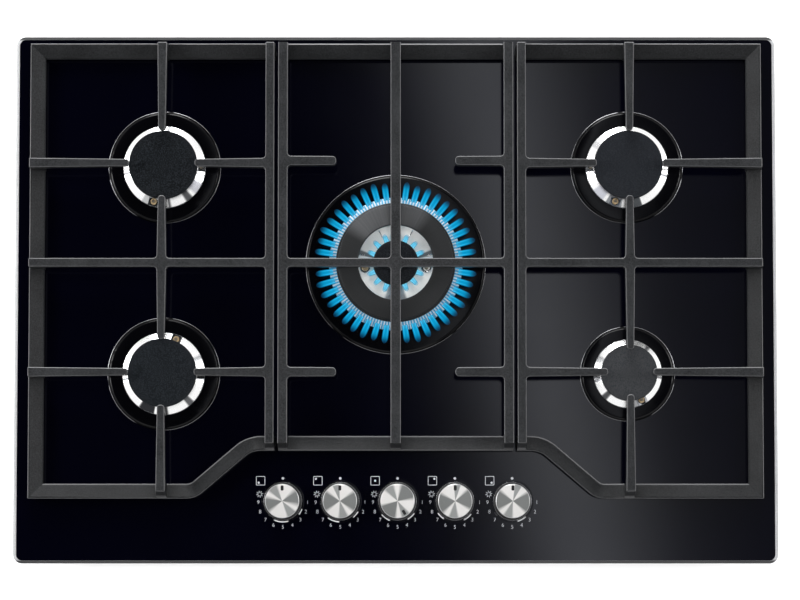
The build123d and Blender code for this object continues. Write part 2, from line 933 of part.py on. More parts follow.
def probe_route(tap):
    """Points of a flame probe's lead, from under the cup to the side of its tap."""
    burner = tap.burner
    x, y = burner.round_point(fitting_radius(burner), burner.probe_angle)
    side = -1 if tap.number < 3 else 1
    tap_x = tap.x + side * tap_length / 2
    lane_x = tap.x + side * knob_pitch / 2
    z = probe_lead_z
    if burner is wok:
        return [(x, y, glass_top_z + probe_bottom), (x, y, z - 6), (x, y - 20, z - 6),
                (lane_x, knob_y + 40, z - 6), (lane_x, knob_y, z - 6), (tap_x, knob_y, z - 6)]
    if abs(tap.number - 3) == 2:
        return [(x, y, glass_top_z + probe_bottom), (x, y, z - 6), (x - side * 14, y - 30, z - 6),
                (lane_x, knob_y + 30, z - 6), (lane_x, knob_y, z - 6), (tap_x, knob_y, z - 6)]
    return [(x, y, glass_top_z + probe_bottom), (x, y, z), (x - side * 40, y - 90, z),
            (lane_x, knob_y + 90, z), (lane_x, knob_y, z), (tap_x, knob_y, z)]


def corner_radii(points, largest, drop):
    """One radius for each corner: the first corner is the drop below the cup."""
    return [drop] + [largest] * (len(points) - 3)


with BuildPart() as thermocouples:
    for tap in taps:
        burner = tap.burner
        x, y = burner.round_point(fitting_radius(burner), burner.probe_angle)
        top = glass_top_z + probe_top + fitting_lift(burner)
        with BuildSketch(Plane((x, y, glass_top_z + probe_bottom))):
            Circle(probe_radius)
        extrude(amount=top - glass_top_z - probe_bottom)
        with BuildSketch(Plane((x, y, cup_floor))):
            Circle(probe_radius + plug_collar)
        extrude(amount=-1.6)
        route = probe_route(tap)
        add(tube(route, corner_radii(route, 8.0, 1.9), probe_lead_radius))
write(thermocouples.part, "thermocouples")

# ---------------------------------------------------------------- gas rail, elbow and pipes

manifold_route = [
    (manifold_left_x, manifold_y, manifold_z),
    (manifold_side_x, manifold_y, manifold_z),
    (manifold_side_x, manifold_offset_start, manifold_z),
    (inlet_x, manifold_offset_end, manifold_z),
    (inlet_x, inlet_y - inlet_body_radius + manifold_grip, manifold_z),
]

with BuildPart() as manifold:
    radii = [manifold_corner, manifold_offset_radius, manifold_offset_radius]
    add(tube(manifold_route, radii, manifold_radius, manifold_bore))
    # plug in the blind end
    with BuildSketch(Plane((manifold_left_x, manifold_y, manifold_z), z_dir=(1, 0, 0))):
        Circle(manifold_radius)
    extrude(amount=manifold_grip)
    # holes that feed the taps
    for tap in taps:
        with BuildSketch(Plane((tap.x, manifold_y, manifold_z), z_dir=(0, 1, 0))):
            Circle(tap_feed_radius)
        extrude(amount=manifold_radius + 1, mode=Mode.SUBTRACT)
write(manifold.part, "manifold")

with BuildPart() as inlet_elbow:
    body_bottom = casing_sheet + inlet_thread_length
    with BuildSketch(Plane((inlet_x, inlet_y, body_bottom))):
        Circle(inlet_body_radius)
    extrude(amount=manifold_z + inlet_bore + inlet_crown - body_bottom)
    with BuildSketch(Plane((inlet_x, inlet_y, body_bottom))):
        RegularPolygon(inlet_body_radius + 2, 6)
    extrude(amount=inlet_hex_height)
    with BuildSketch(Plane((inlet_x, inlet_y, manifold_z), z_dir=(0, -1, 0))):
        Circle(manifold_radius + manifold_grip)
    extrude(amount=inlet_body_radius + 4)
    with BuildSketch(Plane((inlet_x, inlet_y, casing_sheet))):
        Circle(inlet_thread_radius)
    extrude(amount=inlet_thread_length)
    chamfer(inlet_elbow.faces().sort_by(Axis.Z)[0].edges(), inlet_thread_chamfer)
    with BuildSketch(Plane((inlet_x, inlet_y, casing_sheet))):
        Circle(inlet_bore)
    extrude(amount=manifold_z + 4 - casing_sheet, mode=Mode.SUBTRACT)
    with BuildSketch(Plane((inlet_x, inlet_y, manifold_z), z_dir=(0, -1, 0))):
        Circle(manifold_bore)
    extrude(amount=inlet_body_radius + 5, mode=Mode.SUBTRACT)
    socket = manifold_route[-1]
    with BuildSketch(Plane((inlet_x, socket[1], manifold_z), z_dir=(0, -1, 0))):
        Circle(manifold_radius + running)
    extrude(amount=inlet_body_radius + 5, mode=Mode.SUBTRACT)
write(inlet_elbow.part, "inlet_elbow")


def pipe_route(tap):
    """Points of a burner pipe, from its tap's rear face to its cup."""
    burner = tap.burner
    start = (tap.x, knob_y + tap_depth / 2 - pipe_socket, pipe_z)
    body_radius = cup_body_radius(burner)
    if burner is wok:
        return [start, (tap.x, burner.y - body_radius + pipe_socket, pipe_z)]
    side = 1 if burner.x < 0 else -1
    end = (burner.x + side * (body_radius - pipe_socket), burner.y, pipe_z)
    return [start, (tap.x, burner.y, pipe_z), end]


with BuildPart() as burner_pipes:
    for tap in taps:
        route = pipe_route(tap)
        if len(route) == 2:
            with BuildSketch(Plane(route[0], z_dir=(0, 1, 0))):
                Circle(pipe_radius)
                Circle(pipe_bore, mode=Mode.SUBTRACT)
            extrude(amount=route[1][1] - route[0][1])
        else:
            add(tube(route, [pipe_bend], pipe_radius, pipe_bore))
write(burner_pipes.part, "burner_pipes")

# ---------------------------------------------------------------- taps


def tap_body(tap):
    """Brass block with a tapered bore, a spring chamber, a saddle on the gas rail and an outlet."""
    saddle_y = manifold_y
    front_y = knob_y - tap_depth / 2
    with BuildPart() as body:
        with BuildSketch(tap.at(tap_bottom)):
            Rectangle(tap_length, tap_depth)
        extrude(amount=tap_height)
        fillet(body.edges().filter_by(Axis.Z), tap_corner)
        with BuildSketch(Plane((tap.x, front_y, manifold_z), z_dir=(0, -1, 0))):
            Circle(saddle_radius)
        extrude(amount=front_y - saddle_y)
        with BuildSketch(Plane((tap.x, saddle_y, manifold_z), z_dir=(1, 0, 0))):
            Circle(manifold_radius + running)
        extrude(amount=tap_length, both=True, mode=Mode.SUBTRACT)
        with BuildSketch(Plane((tap.x, front_y, manifold_z), z_dir=(0, -1, 0))):
            Circle(tap_feed_radius)
        extrude(amount=tap_depth, both=True, mode=Mode.SUBTRACT)
        add(
            spun(
                tap,
                [
                    (0, taper_bottom - 1),
                    (taper_small_radius + running, taper_bottom - 1),
                    (taper_small_radius + running, taper_bottom),
                    (taper_large_radius + running, taper_top),
                    (chamber_radius, taper_top),
                    (chamber_radius, tap_top),
                    (0, tap_top),
                ],
            ),
            mode=Mode.SUBTRACT,
        )
        with BuildSketch(Plane((tap.x, knob_y + tap_depth / 2, pipe_z), z_dir=(0, -1, 0))):
            Circle(pipe_radius + running)
        extrude(amount=pipe_socket, mode=Mode.SUBTRACT)
        with BuildSketch(Plane((tap.x, knob_y + tap_depth / 2, pipe_z), z_dir=(0, -1, 0))):
            Circle(pipe_bore)
        extrude(amount=tap_depth / 2, mode=Mode.SUBTRACT)
    solids = body.part.solids().sort_by(SortBy.VOLUME)
    return solids[-1]


with BuildPart() as tap_bodies:
    for tap in taps:
        add(tap_body(tap))
write(tap_bodies.part, "tap_bodies")

with BuildPart() as tap_bonnets:
    for tap in taps:
        with BuildSketch(tap.at(tap_top)):
            RectangleRounded(tap_length, tap_depth, tap_corner)
            Circle(spindle_radius + running, mode=Mode.SUBTRACT)
        extrude(amount=bonnet_thickness)
write(tap_bonnets.part, "tap_bonnets")


def d_profile(radius, flat):
    """Sketch of a round bar with one flat."""
    with BuildSketch() as profile:
        Circle(radius)
        with Locations((0, flat + radius)):
            Rectangle(4 * radius, 2 * radius, mode=Mode.SUBTRACT)
    return profile.sketch


for tap in taps:
    with BuildPart() as tap_plug:
        add(
            spun(
                tap,
                [
                    (0, taper_bottom),
                    (taper_small_radius, taper_bottom),
                    (taper_large_radius, taper_top),
                    (0, taper_top),
                ],
            )
        )
        with BuildSketch(tap.turned(spindle_bottom - press_travel - 1)):
            add(d_profile(spindle_radius + running, spindle_flat + running))
        extrude(amount=taper_height, mode=Mode.SUBTRACT)
        # gas port, which meets the outlet only when the knob stands at the lit angle
        port_angle = radians(tap.turn - lit_knob_turn)
        with BuildSketch(Plane((tap.x, knob_y, pipe_z), z_dir=(-sin(port_angle), cos(port_angle), 0))):
            Circle(plug_port_radius)
        extrude(amount=tap_depth, mode=Mode.SUBTRACT)
    write(tap_plug.part, f"tap_plug_{tap.number}")

with BuildPart() as return_springs:
    for tap in taps:
        height = collar_bottom - taper_top - spring_wire - 2 * running
        with BuildLine(Plane((tap.x, knob_y, taper_top + spring_wire / 2 + running))) as coil:
            Helix(pitch=height / spring_turns, height=height, radius=spring_radius)
        with BuildSketch(Plane(origin=coil.line @ 0, z_dir=coil.line % 0)):
            Circle(spring_wire / 2)
        sweep(path=coil.line)
write(return_springs.part, "return_springs")

spindle_top = glass_top_z + spindle_reach
flat_top = taper_top + press_travel + spindle_flat_past

for tap in taps:
    with BuildPart() as spindle:
        with BuildSketch(tap.at(spindle_bottom)):
            Circle(spindle_radius)
        extrude(amount=spindle_top - spindle_bottom)
        with BuildSketch(tap.at(collar_bottom)):
            Circle(collar_radius)
        extrude(amount=collar_thickness)
        for low, high in ((spindle_bottom, flat_top), (glass_top_z + knob_gap, spindle_top)):
            with BuildSketch(tap.turned(low)):
                Circle(spindle_radius + 1)
                add(d_profile(spindle_radius + 1, spindle_flat), mode=Mode.SUBTRACT)
            extrude(amount=high - low, mode=Mode.SUBTRACT)
        chamfer(spindle.faces().sort_by(Axis.Z)[-1].edges(), spindle_chamfer)
    write(spindle.part, f"spindle_{tap.number}")

with BuildPart() as stem_seals:
    for tap in taps:
        inner = spindle_radius + loose
        add(
            spun(
                tap,
                [
                    (inner, glass_bottom - stem_lip_thickness),
                    (stem_hole_radius + stem_lip, glass_bottom - stem_lip_thickness),
                    (stem_hole_radius + stem_lip, glass_bottom),
                    (stem_hole_radius - running, glass_bottom),
                    (stem_hole_radius - running, glass_top_z),
                    (stem_hole_radius + stem_lip, glass_top_z),
                    (stem_hole_radius + stem_lip - 0.5, glass_top_z + stem_lip_thickness / 2),
                    (inner, glass_top_z + stem_lip_thickness / 2),
                ],
            )
        )
write(stem_seals.part, "stem_seals")

# ---------------------------------------------------------------- knobs

knob_bottom = glass_top_z + knob_gap
knob_top = glass_top_z + knob_height


def knob(tap):
    """Hollow knob with a D-bored hub and a pointer groove."""
    points = [
        (knob_radius - knob_wall, knob_bottom),
        (knob_radius, knob_bottom),
        (knob_radius, knob_bottom + knob_foot),
        (knob_face_radius + knob_face_taper, knob_bottom + knob_foot + knob_step),
        (knob_face_radius, knob_top - knob_face_edge),
        (knob_face_radius - knob_face_edge, knob_top),
        (0, knob_top),
        (0, knob_top - knob_wall),
        (knob_face_radius - knob_wall, knob_top - knob_wall),
    ]
    with BuildPart() as shell:
        add(spun(tap, points))
        with BuildSketch(tap.at(knob_bottom)):
            Circle(knob_hub_radius)
        extrude(amount=knob_height - knob_gap)
        with BuildSketch(tap.turned(knob_bottom)):
            add(d_profile(spindle_radius + running, spindle_flat + running))
        extrude(amount=spindle_top - knob_bottom + running, mode=Mode.SUBTRACT)
        with BuildSketch(tap.turned(knob_top)):
            with Locations((0, pointer_radius)):
                Rectangle(pointer_width, pointer_length)
        extrude(amount=-pointer_depth, mode=Mode.SUBTRACT)
    return shell.part


for tap in taps:
    write(knob(tap), f"knob_{tap.number}")

# ---------------------------------------------------------------- ignition and mains

generator_x = 0.0
post_z = ignition_floor + post_radius

with BuildPart() as spark_generator:
    with BuildSketch(Plane((generator_x, generator_front_y + generator_depth / 2, casing_sheet))):
        Rectangle(generator_length, generator_depth)
    extrude(amount=generator_height)
    fillet(spark_generator.edges().filter_by(Axis.Z), generator_corner)
    fillet(spark_generator.faces().sort_by(Axis.Z)[-1].edges(), generator_round)
    with BuildSketch(Plane((generator_x, generator_front_y, post_z), x_dir=(1, 0, 0), z_dir=(0, -1, 0))):
        with GridLocations(post_pitch, 1, 5, 1):
            Circle(post_radius)
    extrude(amount=post_length)
write(spark_generator.part, "spark_generator")


def lead_route(burner, post):
    """Points of a spark lead: down beside the cup, along the floor, up to its post."""
    x, y = burner.round_point(fitting_radius(burner), burner.plug_angle)
    post_x = generator_x + (post - 2) * post_pitch
    end_y = generator_front_y - post_length
    floor = ignition_floor
    lanes = {
        "rear_left": [(-190.0, 78.0), (-110.0, 148.0)],
        "front_left": [(-140.0, 20.0), (-64.0, 124.0)],
        "wok": [(-40.0, 96.0)],
        "front_right": [(190.0, -104.0), (100.0, 20.0), (44.0, 124.0)],
        "rear_right": [(170.0, 86.0), (100.0, 148.0)],
    }[burner.name]
    points = [(x, y, glass_top_z + plug_bottom), (x, y, floor)]
    points += [(lane_x, lane_y, floor) for lane_x, lane_y in lanes]
    points += [(post_x, end_y - post_run, post_z), (post_x, end_y, post_z)]
    return points


with BuildPart() as spark_leads:
    for post, burner in enumerate([rear_left, front_left, wok, front_right, rear_right]):
        route = lead_route(burner, post)
        add(tube(route, corner_radii(route, lead_bend, drop_bend), lead_radius))
write(spark_leads.part, "spark_leads")

with BuildPart() as ignition_switches:
    switch_y = knob_y + spindle_radius + switch_depth / 2 + switch_gap
    switch_z = tap_top + bonnet_thickness
    for tap in taps:
        with BuildSketch(Plane((tap.x, switch_y, switch_z))):
            Rectangle(switch_length, switch_depth)
        extrude(amount=switch_height)
    with BuildSketch(Plane((taps[0].x, switch_y, switch_z + switch_height / 2), z_dir=(1, 0, 0))):
        Circle(switch_lead_radius)
    extrude(amount=4 * knob_pitch)
write(ignition_switches.part, "ignition_switches")

with BuildPart() as terminal_block:
    with BuildSketch(Plane((terminal_x, terminal_y, casing_sheet))):
        Rectangle(terminal_length, terminal_depth)
    extrude(amount=terminal_height)
    fillet(terminal_block.edges().filter_by(Axis.Z), terminal_corner)
    with BuildSketch(Plane((terminal_x, terminal_y, casing_sheet + terminal_height))):
        with GridLocations(terminal_length / 3, 1, 3, 1):
            Circle(terminal_screw_radius)
    extrude(amount=-terminal_screw_depth, mode=Mode.SUBTRACT)
    rear = (terminal_x, terminal_y + terminal_depth / 2, terminal_wire_z)
    with BuildSketch(Plane(rear, x_dir=(1, 0, 0), z_dir=(0, -1, 0))):
        with GridLocations(terminal_length / 3, 1, 3, 1):
            Circle(terminal_wire_radius)
    extrude(amount=terminal_depth / 3, mode=Mode.SUBTRACT)
write(terminal_block.part, "terminal_block")

with BuildPart() as cable_gland:
    wall_inner = casing_depth / 2 - casing_sheet
    wall_outer = casing_depth / 2
    with BuildSketch(Plane((gland_x, wall_outer, gland_z), z_dir=(0, 1, 0))):
        RegularPolygon(gland_flange, 6)
    extrude(amount=gland_flange_thickness)
    with BuildSketch(Plane((gland_x, wall_outer + gland_flange_thickness, gland_z), z_dir=(0, 1, 0))):
        Circle(gland_neck)
    extrude(amount=gland_reach - gland_flange_thickness, taper=gland_taper)
    with BuildSketch(Plane((gland_x, wall_outer, gland_z), z_dir=(0, -1, 0))):
        Circle(gland_neck)
    extrude(amount=casing_sheet)
    with BuildSketch(Plane((gland_x, wall_inner, gland_z), z_dir=(0, -1, 0))):
        Circle(gland_flange)
    extrude(amount=gland_reach)
    with BuildSketch(Plane((gland_x, wall_outer, gland_z), z_dir=(0, 1, 0))):
        Circle(gland_bore)
    extrude(amount=2 * gland_reach, both=True, mode=Mode.SUBTRACT)
write(cable_gland.part, "cable_gland")

# ---------------------------------------------------------------- worktop clips

clip_places = [(side, y) for side in (-1, 1) for y in (-clip_y, clip_y)]

with BuildPart() as worktop_clips:
    wall = casing_length / 2
    for side, y in clip_places:
        section = Plane((side * wall, y, 0), x_dir=(side, 0, 0), z_dir=(0, -side, 0))
        with BuildSketch(section):
            with BuildLine():
                Polyline(
                    (0, clip_top),
                    (clip_sheet, clip_top),
                    (clip_sheet, clip_bend_z),
                    (clip_sheet + clip_bulge, clip_bulge_z),
                    (clip_sheet, clip_bottom),
                    (0, clip_bottom),
                    (clip_bulge, clip_bulge_z),
                    (0, clip_bend_z),
                    close=True,
                )
            make_face()
        extrude(amount=clip_width / 2, both=True)
        with BuildSketch(Plane((side * wall, y, clip_screw_z), z_dir=(side, 0, 0))):
            Circle(screw_radius + running)
        extrude(amount=clip_sheet, mode=Mode.SUBTRACT)
write(worktop_clips.part, "worktop_clips")

with BuildPart() as clip_screws:
    for side, y in clip_places:
        head = Plane((side * (casing_length / 2 + clip_sheet), y, clip_screw_z), z_dir=(side, 0, 0))
        with BuildSketch(head):
            Circle(screw_head_radius)
        extrude(amount=clip_screw_head_height)
        with BuildSketch(head):
            Circle(screw_radius)
        extrude(amount=-(clip_sheet + casing_sheet + clip_screw_past))
write(clip_screws.part, "clip_screws")

# ---------------------------------------------------------------- pan supports


def rail_section(plane):
    """Cross-section of a rail: high outer edge, top sloping inwards."""
    high = rail_height
    low = rail_inner_height
    base = rail_clearance
    with BuildSketch(plane) as section:
        with BuildLine():
            Polyline(
                (rail_foot_edge, base),
                (0, base + rail_foot_edge),
                (0, high - rail_edge),
                (rail_edge, high),
                (rail_width - rail_edge, low),
                (rail_width, low - rail_edge),
                (rail_width - rail_foot_edge, base),
                close=True,
            )
        make_face()
    return section.sketch


def bar_blank(outline, junctions, reach):
    """Bars cut out of a plate as thick as the pan support is high, with rounded inner corners."""
    with BuildPart() as blank:
        with BuildSketch(Plane.XY.offset(rail_bottom)) as plan:
            add(outline)
            corners = [
                vertex
                for vertex in plan.vertices()
                if any(abs(vertex.X - x) < reach and abs(vertex.Y - y) < reach for x, y in junctions)
            ]
            fillet(corners, junction_round)
        extrude(amount=support_height - rail_clearance)
        fillet(blank.faces().sort_by(Axis.Z)[-1].edges(), bar_round)
    return blank.part


def finger(root, tip, root_width, tip_width):
    """Plan outline of a finger, narrowing from its root to a rounded tip."""
    dx = tip[0] - root[0]
    dy = tip[1] - root[1]
    length = (dx * dx + dy * dy) ** 0.5
    plane = Plane(origin=(root[0], root[1], 0), x_dir=(dx, dy, 0), z_dir=(0, 0, 1))
    with BuildSketch() as outline:
        with BuildLine(plane):
            Polyline(
                (0, -root_width / 2),
                (length, -tip_width / 2),
                (length, tip_width / 2),
                (0, root_width / 2),
                close=True,
            )
        make_face()
        tips = outline.vertices().sort_by_distance((tip[0], tip[1], 0))[:2]
        fillet(tips, tip_width * 0.42)
    return outline.sketch


def end_wedge(x, y, direction, run):
    """Wedge that slopes a bar's end back by a run between the rail's edge and the bar's top."""
    angle = degrees(atan2(direction[1], direction[0]))
    plane = Plane(origin=(x, y, glass_top_z), x_dir=(direction[0], direction[1], 0), z_dir=(
        sin(radians(angle)), -cos(radians(angle)), 0))
    with BuildPart() as wedge:
        with BuildSketch(plane):
            with BuildLine():
                Polyline(
                    (-0.6, rail_height - 2),
                    (-run, support_height + 1),
                    (20, support_height + 1),
                    (20, 0),
                    (-0.6, 0),
                    close=True,
                )
            make_face()
        extrude(amount=bar_width * 1.5, both=True)
    return wedge.part


def space_under(outline):
    """Solid of the space under the bars, rounded where they come down to the rails."""
    with BuildPart() as space:
        with BuildSketch(Plane.XY.offset(glass_top_z)):
            add(outline)
        extrude(amount=support_height - bar_depth)
        fillet(space.faces().sort_by(Axis.Z)[-1].edges(), haunch_round)
    return space.part


def foot_holes(places):
    """Solid of the blind holes that take the feet's stems."""
    with BuildPart() as holes:
        for x, y in places:
            with BuildSketch(Plane((x, y, rail_bottom))):
                Circle(foot_stem_radius + running)
            extrude(amount=foot_stem_length + running)
    return holes.part


def feet(places):
    """Rubber feet: a pad on the glass and a stem in the rail."""
    with BuildPart() as pads:
        for x, y in places:
            with BuildSketch(Plane((x, y, glass_top_z))):
                Circle(foot_radius)
            extrude(amount=rail_clearance)
            with BuildSketch(Plane((x, y, rail_bottom))):
                Circle(foot_stem_radius)
            extrude(amount=foot_stem_length)
    return pads.part


rail_middle = rail_width / 2
side_end_x = -(side_bar_x - side_bar_width / 2)
side_feet_places = [
    (-rail_outer_x + rail_middle, rail_rear_y - rail_middle),
    (-rail_outer_x + rail_middle, -rail_front_y + rail_middle),
    (-side_bar_x, rail_rear_y - rail_middle),
    (-side_bar_x, -rail_middle_y + rail_middle),
]


def side_support(front_reach):
    """Left pan support: a low rail on three sides, one full-height side bar, and the fingers."""
    burner_x = -outer_burner_x
    root_x = -rail_outer_x
    bar_x = -side_bar_x
    inner_rear = rail_rear_y - rail_width
    with BuildSketch() as outline:
        with Locations((bar_x, (rail_rear_y - rail_middle_y) / 2)):
            Rectangle(side_bar_width, rail_rear_y + rail_middle_y)
        with Locations(((root_x + bar_x) / 2, cross_bar_y)):
            Rectangle(bar_x - root_x, bar_width - 1)
        for y, reach in ((rear_burner_y, tip_reach), (front_burner_y, front_reach)):
            add(finger((root_x, y), (burner_x - reach, y), bar_width, bar_tip_width))
            add(finger((bar_x, y), (burner_x + reach, y), bar_width, bar_tip_width))
        for root_y, tip_y in (
            (rail_rear_y, rear_burner_y + tip_reach),
            (cross_bar_y, rear_burner_y - tip_reach),
            (cross_bar_y, front_burner_y + front_reach),
            (-rail_front_y, front_burner_y - front_reach),
        ):
            add(finger((burner_x, root_y), (burner_x, tip_y), bar_width, bar_tip_width))
    junctions = [(bar_x, y) for y in (rear_burner_y, cross_bar_y, front_burner_y)]
    junctions.append((burner_x, cross_bar_y))
    slope = atan2(rail_front_y - rail_middle_y, bend_outer_x - bend_inner_x)
    shift = rail_width * tan(slope / 2)
    past_end_x = side_end_x + 2 * haunch_round
    with BuildSketch() as space:
        with BuildLine():
            Polyline(
                (past_end_x, inner_rear),
                (-rail_outer_x + rail_width, inner_rear),
                (-rail_outer_x + rail_width, -rail_front_y + rail_width),
                (-bend_outer_x - shift, -rail_front_y + rail_width),
                (-bend_inner_x - shift, -rail_middle_y + rail_width),
                (past_end_x, -rail_middle_y + rail_width),
                close=True,
            )
        make_face()
        fillet(space.vertices(), haunch_round + 2)
    with BuildPart() as support:
        add(bar_blank(outline.sketch, junctions, bar_width))
        add(space_under(space.sketch), mode=Mode.SUBTRACT)
        for burner_y, reach in ((rear_burner_y, tip_reach), (front_burner_y, front_reach)):
            low = bar_bottom - 0.1
            with Locations((burner_x, burner_y, low)):
                Cone(
                    reach + tip_taper_length,
                    reach - 1,
                    tip_rise,
                    align=(Align.CENTER, Align.CENTER, Align.MIN),
                    mode=Mode.SUBTRACT,
                )
        ends = [
            (burner_x, rail_rear_y, (0, 1), bar_end_slope),
            (bar_x, rail_rear_y, (0, 1), bar_end_slope),
            (root_x, rear_burner_y, (-1, 0), bar_end_slope),
            (root_x, cross_bar_y, (-1, 0), bar_end_slope),
            (root_x, front_burner_y, (-1, 0), bar_end_slope),
            (burner_x, -rail_front_y, (0, -1), bar_front_slope),
            (bar_x, -rail_middle_y, (0, -1), bar_front_slope),
        ]
        for x, y, direction, run in ends:
            add(end_wedge(x, y, direction, run), mode=Mode.SUBTRACT)
        with BuildLine() as rail_path:
            rear = Line((side_end_x, rail_rear_y, glass_top_z), (-rail_outer_x, rail_rear_y, glass_top_z))
            side = Line(rear @ 1, (-rail_outer_x, -rail_front_y, glass_top_z))
            FilletPolyline(
                side @ 1,
                (-bend_outer_x, -rail_front_y, glass_top_z),
                (-bend_inner_x, -rail_middle_y, glass_top_z),
                (side_end_x, -rail_middle_y, glass_top_z),
                radius=bend_radius,
            )
        start = Plane(origin=rear @ 0, x_dir=(0, -1, 0), z_dir=(-1, 0, 0))
        sweep(sections=rail_section(start), path=rail_path.line, transition=Transition.RIGHT)
        add(foot_holes(side_feet_places), mode=Mode.SUBTRACT)
    return support.part


write(side_support(tip_reach), "grate_left")
write(feet(side_feet_places), "grate_left_feet")

right_feet_places = [(-x, y) for x, y in side_feet_places]
with BuildPart() as grate_right:
    mirror(side_support(small_tip_reach), about=Plane.YZ)
write(grate_right.part, "grate_right")
write(feet(right_feet_places), "grate_right_feet")

centre_end_x = centre_side_bar_x + bar_width / 2
centre_finger_ys = (rear_burner_y + centre_rear_finger_shift, front_burner_y)
centre_feet_ys = (rail_rear_y - rail_middle, -rail_middle_y + rail_middle)
centre_feet_places = [(side * centre_side_bar_x, y) for side in (-1, 1) for y in centre_feet_ys]

with BuildSketch() as centre_outline:
    middle_y = (rail_rear_y - rail_middle_y) / 2
    full_length = rail_rear_y + rail_middle_y
    with Locations((-centre_side_bar_x, middle_y), (centre_side_bar_x, middle_y)):
        Rectangle(bar_width, full_length)
    with Locations((0, middle_y)):
        Rectangle(centre_bar_width, full_length)
    with Locations((0, cross_bar_y)):
        Rectangle(2 * centre_side_bar_x, bar_width - 1)
    for side in (-1, 1):
        for y in centre_finger_ys:
            root = (side * centre_side_bar_x, y)
            tip = (side * side_finger_tip_x, y)
            add(finger(root, tip, bar_width, bar_width - 0.6))

with BuildSketch() as centre_space:
    with Locations((0, middle_y)):
        RectangleRounded(2 * centre_end_x + 4 * haunch_round, full_length - 2 * rail_width, haunch_round + 2)

with BuildPart() as grate_centre:
    centre_junctions = [(0, cross_bar_y)]
    for side in (-1, 1):
        for y in (cross_bar_y, *centre_finger_ys):
            centre_junctions.append((side * centre_side_bar_x, y))
    add(bar_blank(centre_outline.sketch, centre_junctions, bar_width))
    add(space_under(centre_space.sketch), mode=Mode.SUBTRACT)
    with Locations((wok.x, wok.y, bar_bottom - 0.1)):
        Cone(
            wok_dip_radius,
            wok_dip_radius - 14,
            tip_rise - 1.5,
            align=(Align.CENTER, Align.CENTER, Align.MIN),
            mode=Mode.SUBTRACT,
        )
    for x in (-centre_side_bar_x, 0, centre_side_bar_x):
        add(end_wedge(x, rail_rear_y, (0, 1), bar_end_slope), mode=Mode.SUBTRACT)
        add(end_wedge(x, -rail_middle_y, (0, -1), bar_front_slope), mode=Mode.SUBTRACT)
    rear_start = Plane((centre_end_x, rail_rear_y, glass_top_z), x_dir=(0, -1, 0), z_dir=(-1, 0, 0))
    front_start = Plane((-centre_end_x, -rail_middle_y, glass_top_z), x_dir=(0, 1, 0), z_dir=(1, 0, 0))
    for start in (rear_start, front_start):
        extrude(rail_section(start), amount=2 * centre_end_x)
    add(foot_holes(centre_feet_places), mode=Mode.SUBTRACT)
write(grate_centre.part, "grate_centre")
write(feet(centre_feet_places), "grate_centre_feet")
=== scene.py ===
"""Five-burner gas cooktop: the finishes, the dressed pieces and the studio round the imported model.

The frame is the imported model's: X to the right, Y to the rear, Z up, and Blender works in metres.
Sizes are held in a maker's millimetres, and mm() turns them where a mesh or a node needs metres.
Angles round a burner or a knob are degrees clockwise from the rear, as a cook reads a dial.
"""

import logging
import math
from dataclasses import dataclass
from enum import Enum, StrEnum
from typing import Any, Iterable

import bmesh
import bpy
from mathutils import Matrix, Vector

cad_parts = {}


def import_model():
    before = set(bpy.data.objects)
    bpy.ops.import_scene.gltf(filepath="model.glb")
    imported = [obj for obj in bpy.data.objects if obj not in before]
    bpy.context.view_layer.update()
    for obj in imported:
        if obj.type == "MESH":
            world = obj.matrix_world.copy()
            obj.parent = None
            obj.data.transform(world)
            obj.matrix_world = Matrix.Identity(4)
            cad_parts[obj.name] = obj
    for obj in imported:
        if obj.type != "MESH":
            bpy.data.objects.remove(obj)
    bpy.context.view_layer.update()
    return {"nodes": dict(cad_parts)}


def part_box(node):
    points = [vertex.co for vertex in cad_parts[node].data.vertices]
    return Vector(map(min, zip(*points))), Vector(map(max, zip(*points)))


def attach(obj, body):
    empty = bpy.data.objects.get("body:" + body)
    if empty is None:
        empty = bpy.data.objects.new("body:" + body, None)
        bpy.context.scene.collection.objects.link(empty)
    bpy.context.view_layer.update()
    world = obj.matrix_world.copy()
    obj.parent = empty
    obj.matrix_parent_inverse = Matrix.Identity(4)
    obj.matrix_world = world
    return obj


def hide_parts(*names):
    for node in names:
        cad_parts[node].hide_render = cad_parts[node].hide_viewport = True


Colour = tuple[float, float, float, float]
Corner = tuple[float, float, float]
Material = bpy.types.Material
Mesh = bmesh.types.BMesh
Tree = bpy.types.NodeTree

LOG = logging.getLogger("cooktop")
KNOBS = (1, 2, 3, 4, 5)
WELD_MM = 0.002
SEAM = 1e-7
CREASE_DEG = 28.0
WHITE = (1.0, 1.0, 1.0, 1.0)
BLACK = (0.0, 0.0, 0.0, 1.0)


class Slot(StrEnum):
    """The record's material slots."""

    GLASS = "black_glass"
    IRON = "cast_iron"
    GLOSS_ENAMEL = "gloss_enamel"
    MATT_ENAMEL = "matt_enamel"
    POLISHED = "polished_aluminium"
    SPUN = "spun_aluminium"


class Burner(Enum):
    """The four outer burners, by their place on the glass."""

    REAR_LEFT = "rear_left"
    FRONT_LEFT = "front_left"
    REAR_RIGHT = "rear_right"
    FRONT_RIGHT = "front_right"


# ------------------------------------------------------------------ small tools


def mm(length: float) -> float:
    """Millimetres as metres."""
    return length / 1000.0


def in_mm(length: float) -> float:
    """Metres as millimetres."""
    return length * 1000.0


def per(size_mm: float) -> float:
    """Scale of a pattern on Object coordinates whose features are size_mm apart."""
    return 1000.0 / size_mm


def linear(code: str) -> Colour:
    """Turn an sRGB hex colour into linear RGBA.

    Args:
        code: six hex digits with a leading hash.

    Returns:
        Red, green, blue and an alpha of one.
    """
    parts = [int(code[i : i + 2], 16) / 255.0 for i in (1, 3, 5)]
    curve = [c / 12.92 if c <= 0.04045 else ((c + 0.055) / 1.055) ** 2.4 for c in parts]
    return (curve[0], curve[1], curve[2], 1.0)


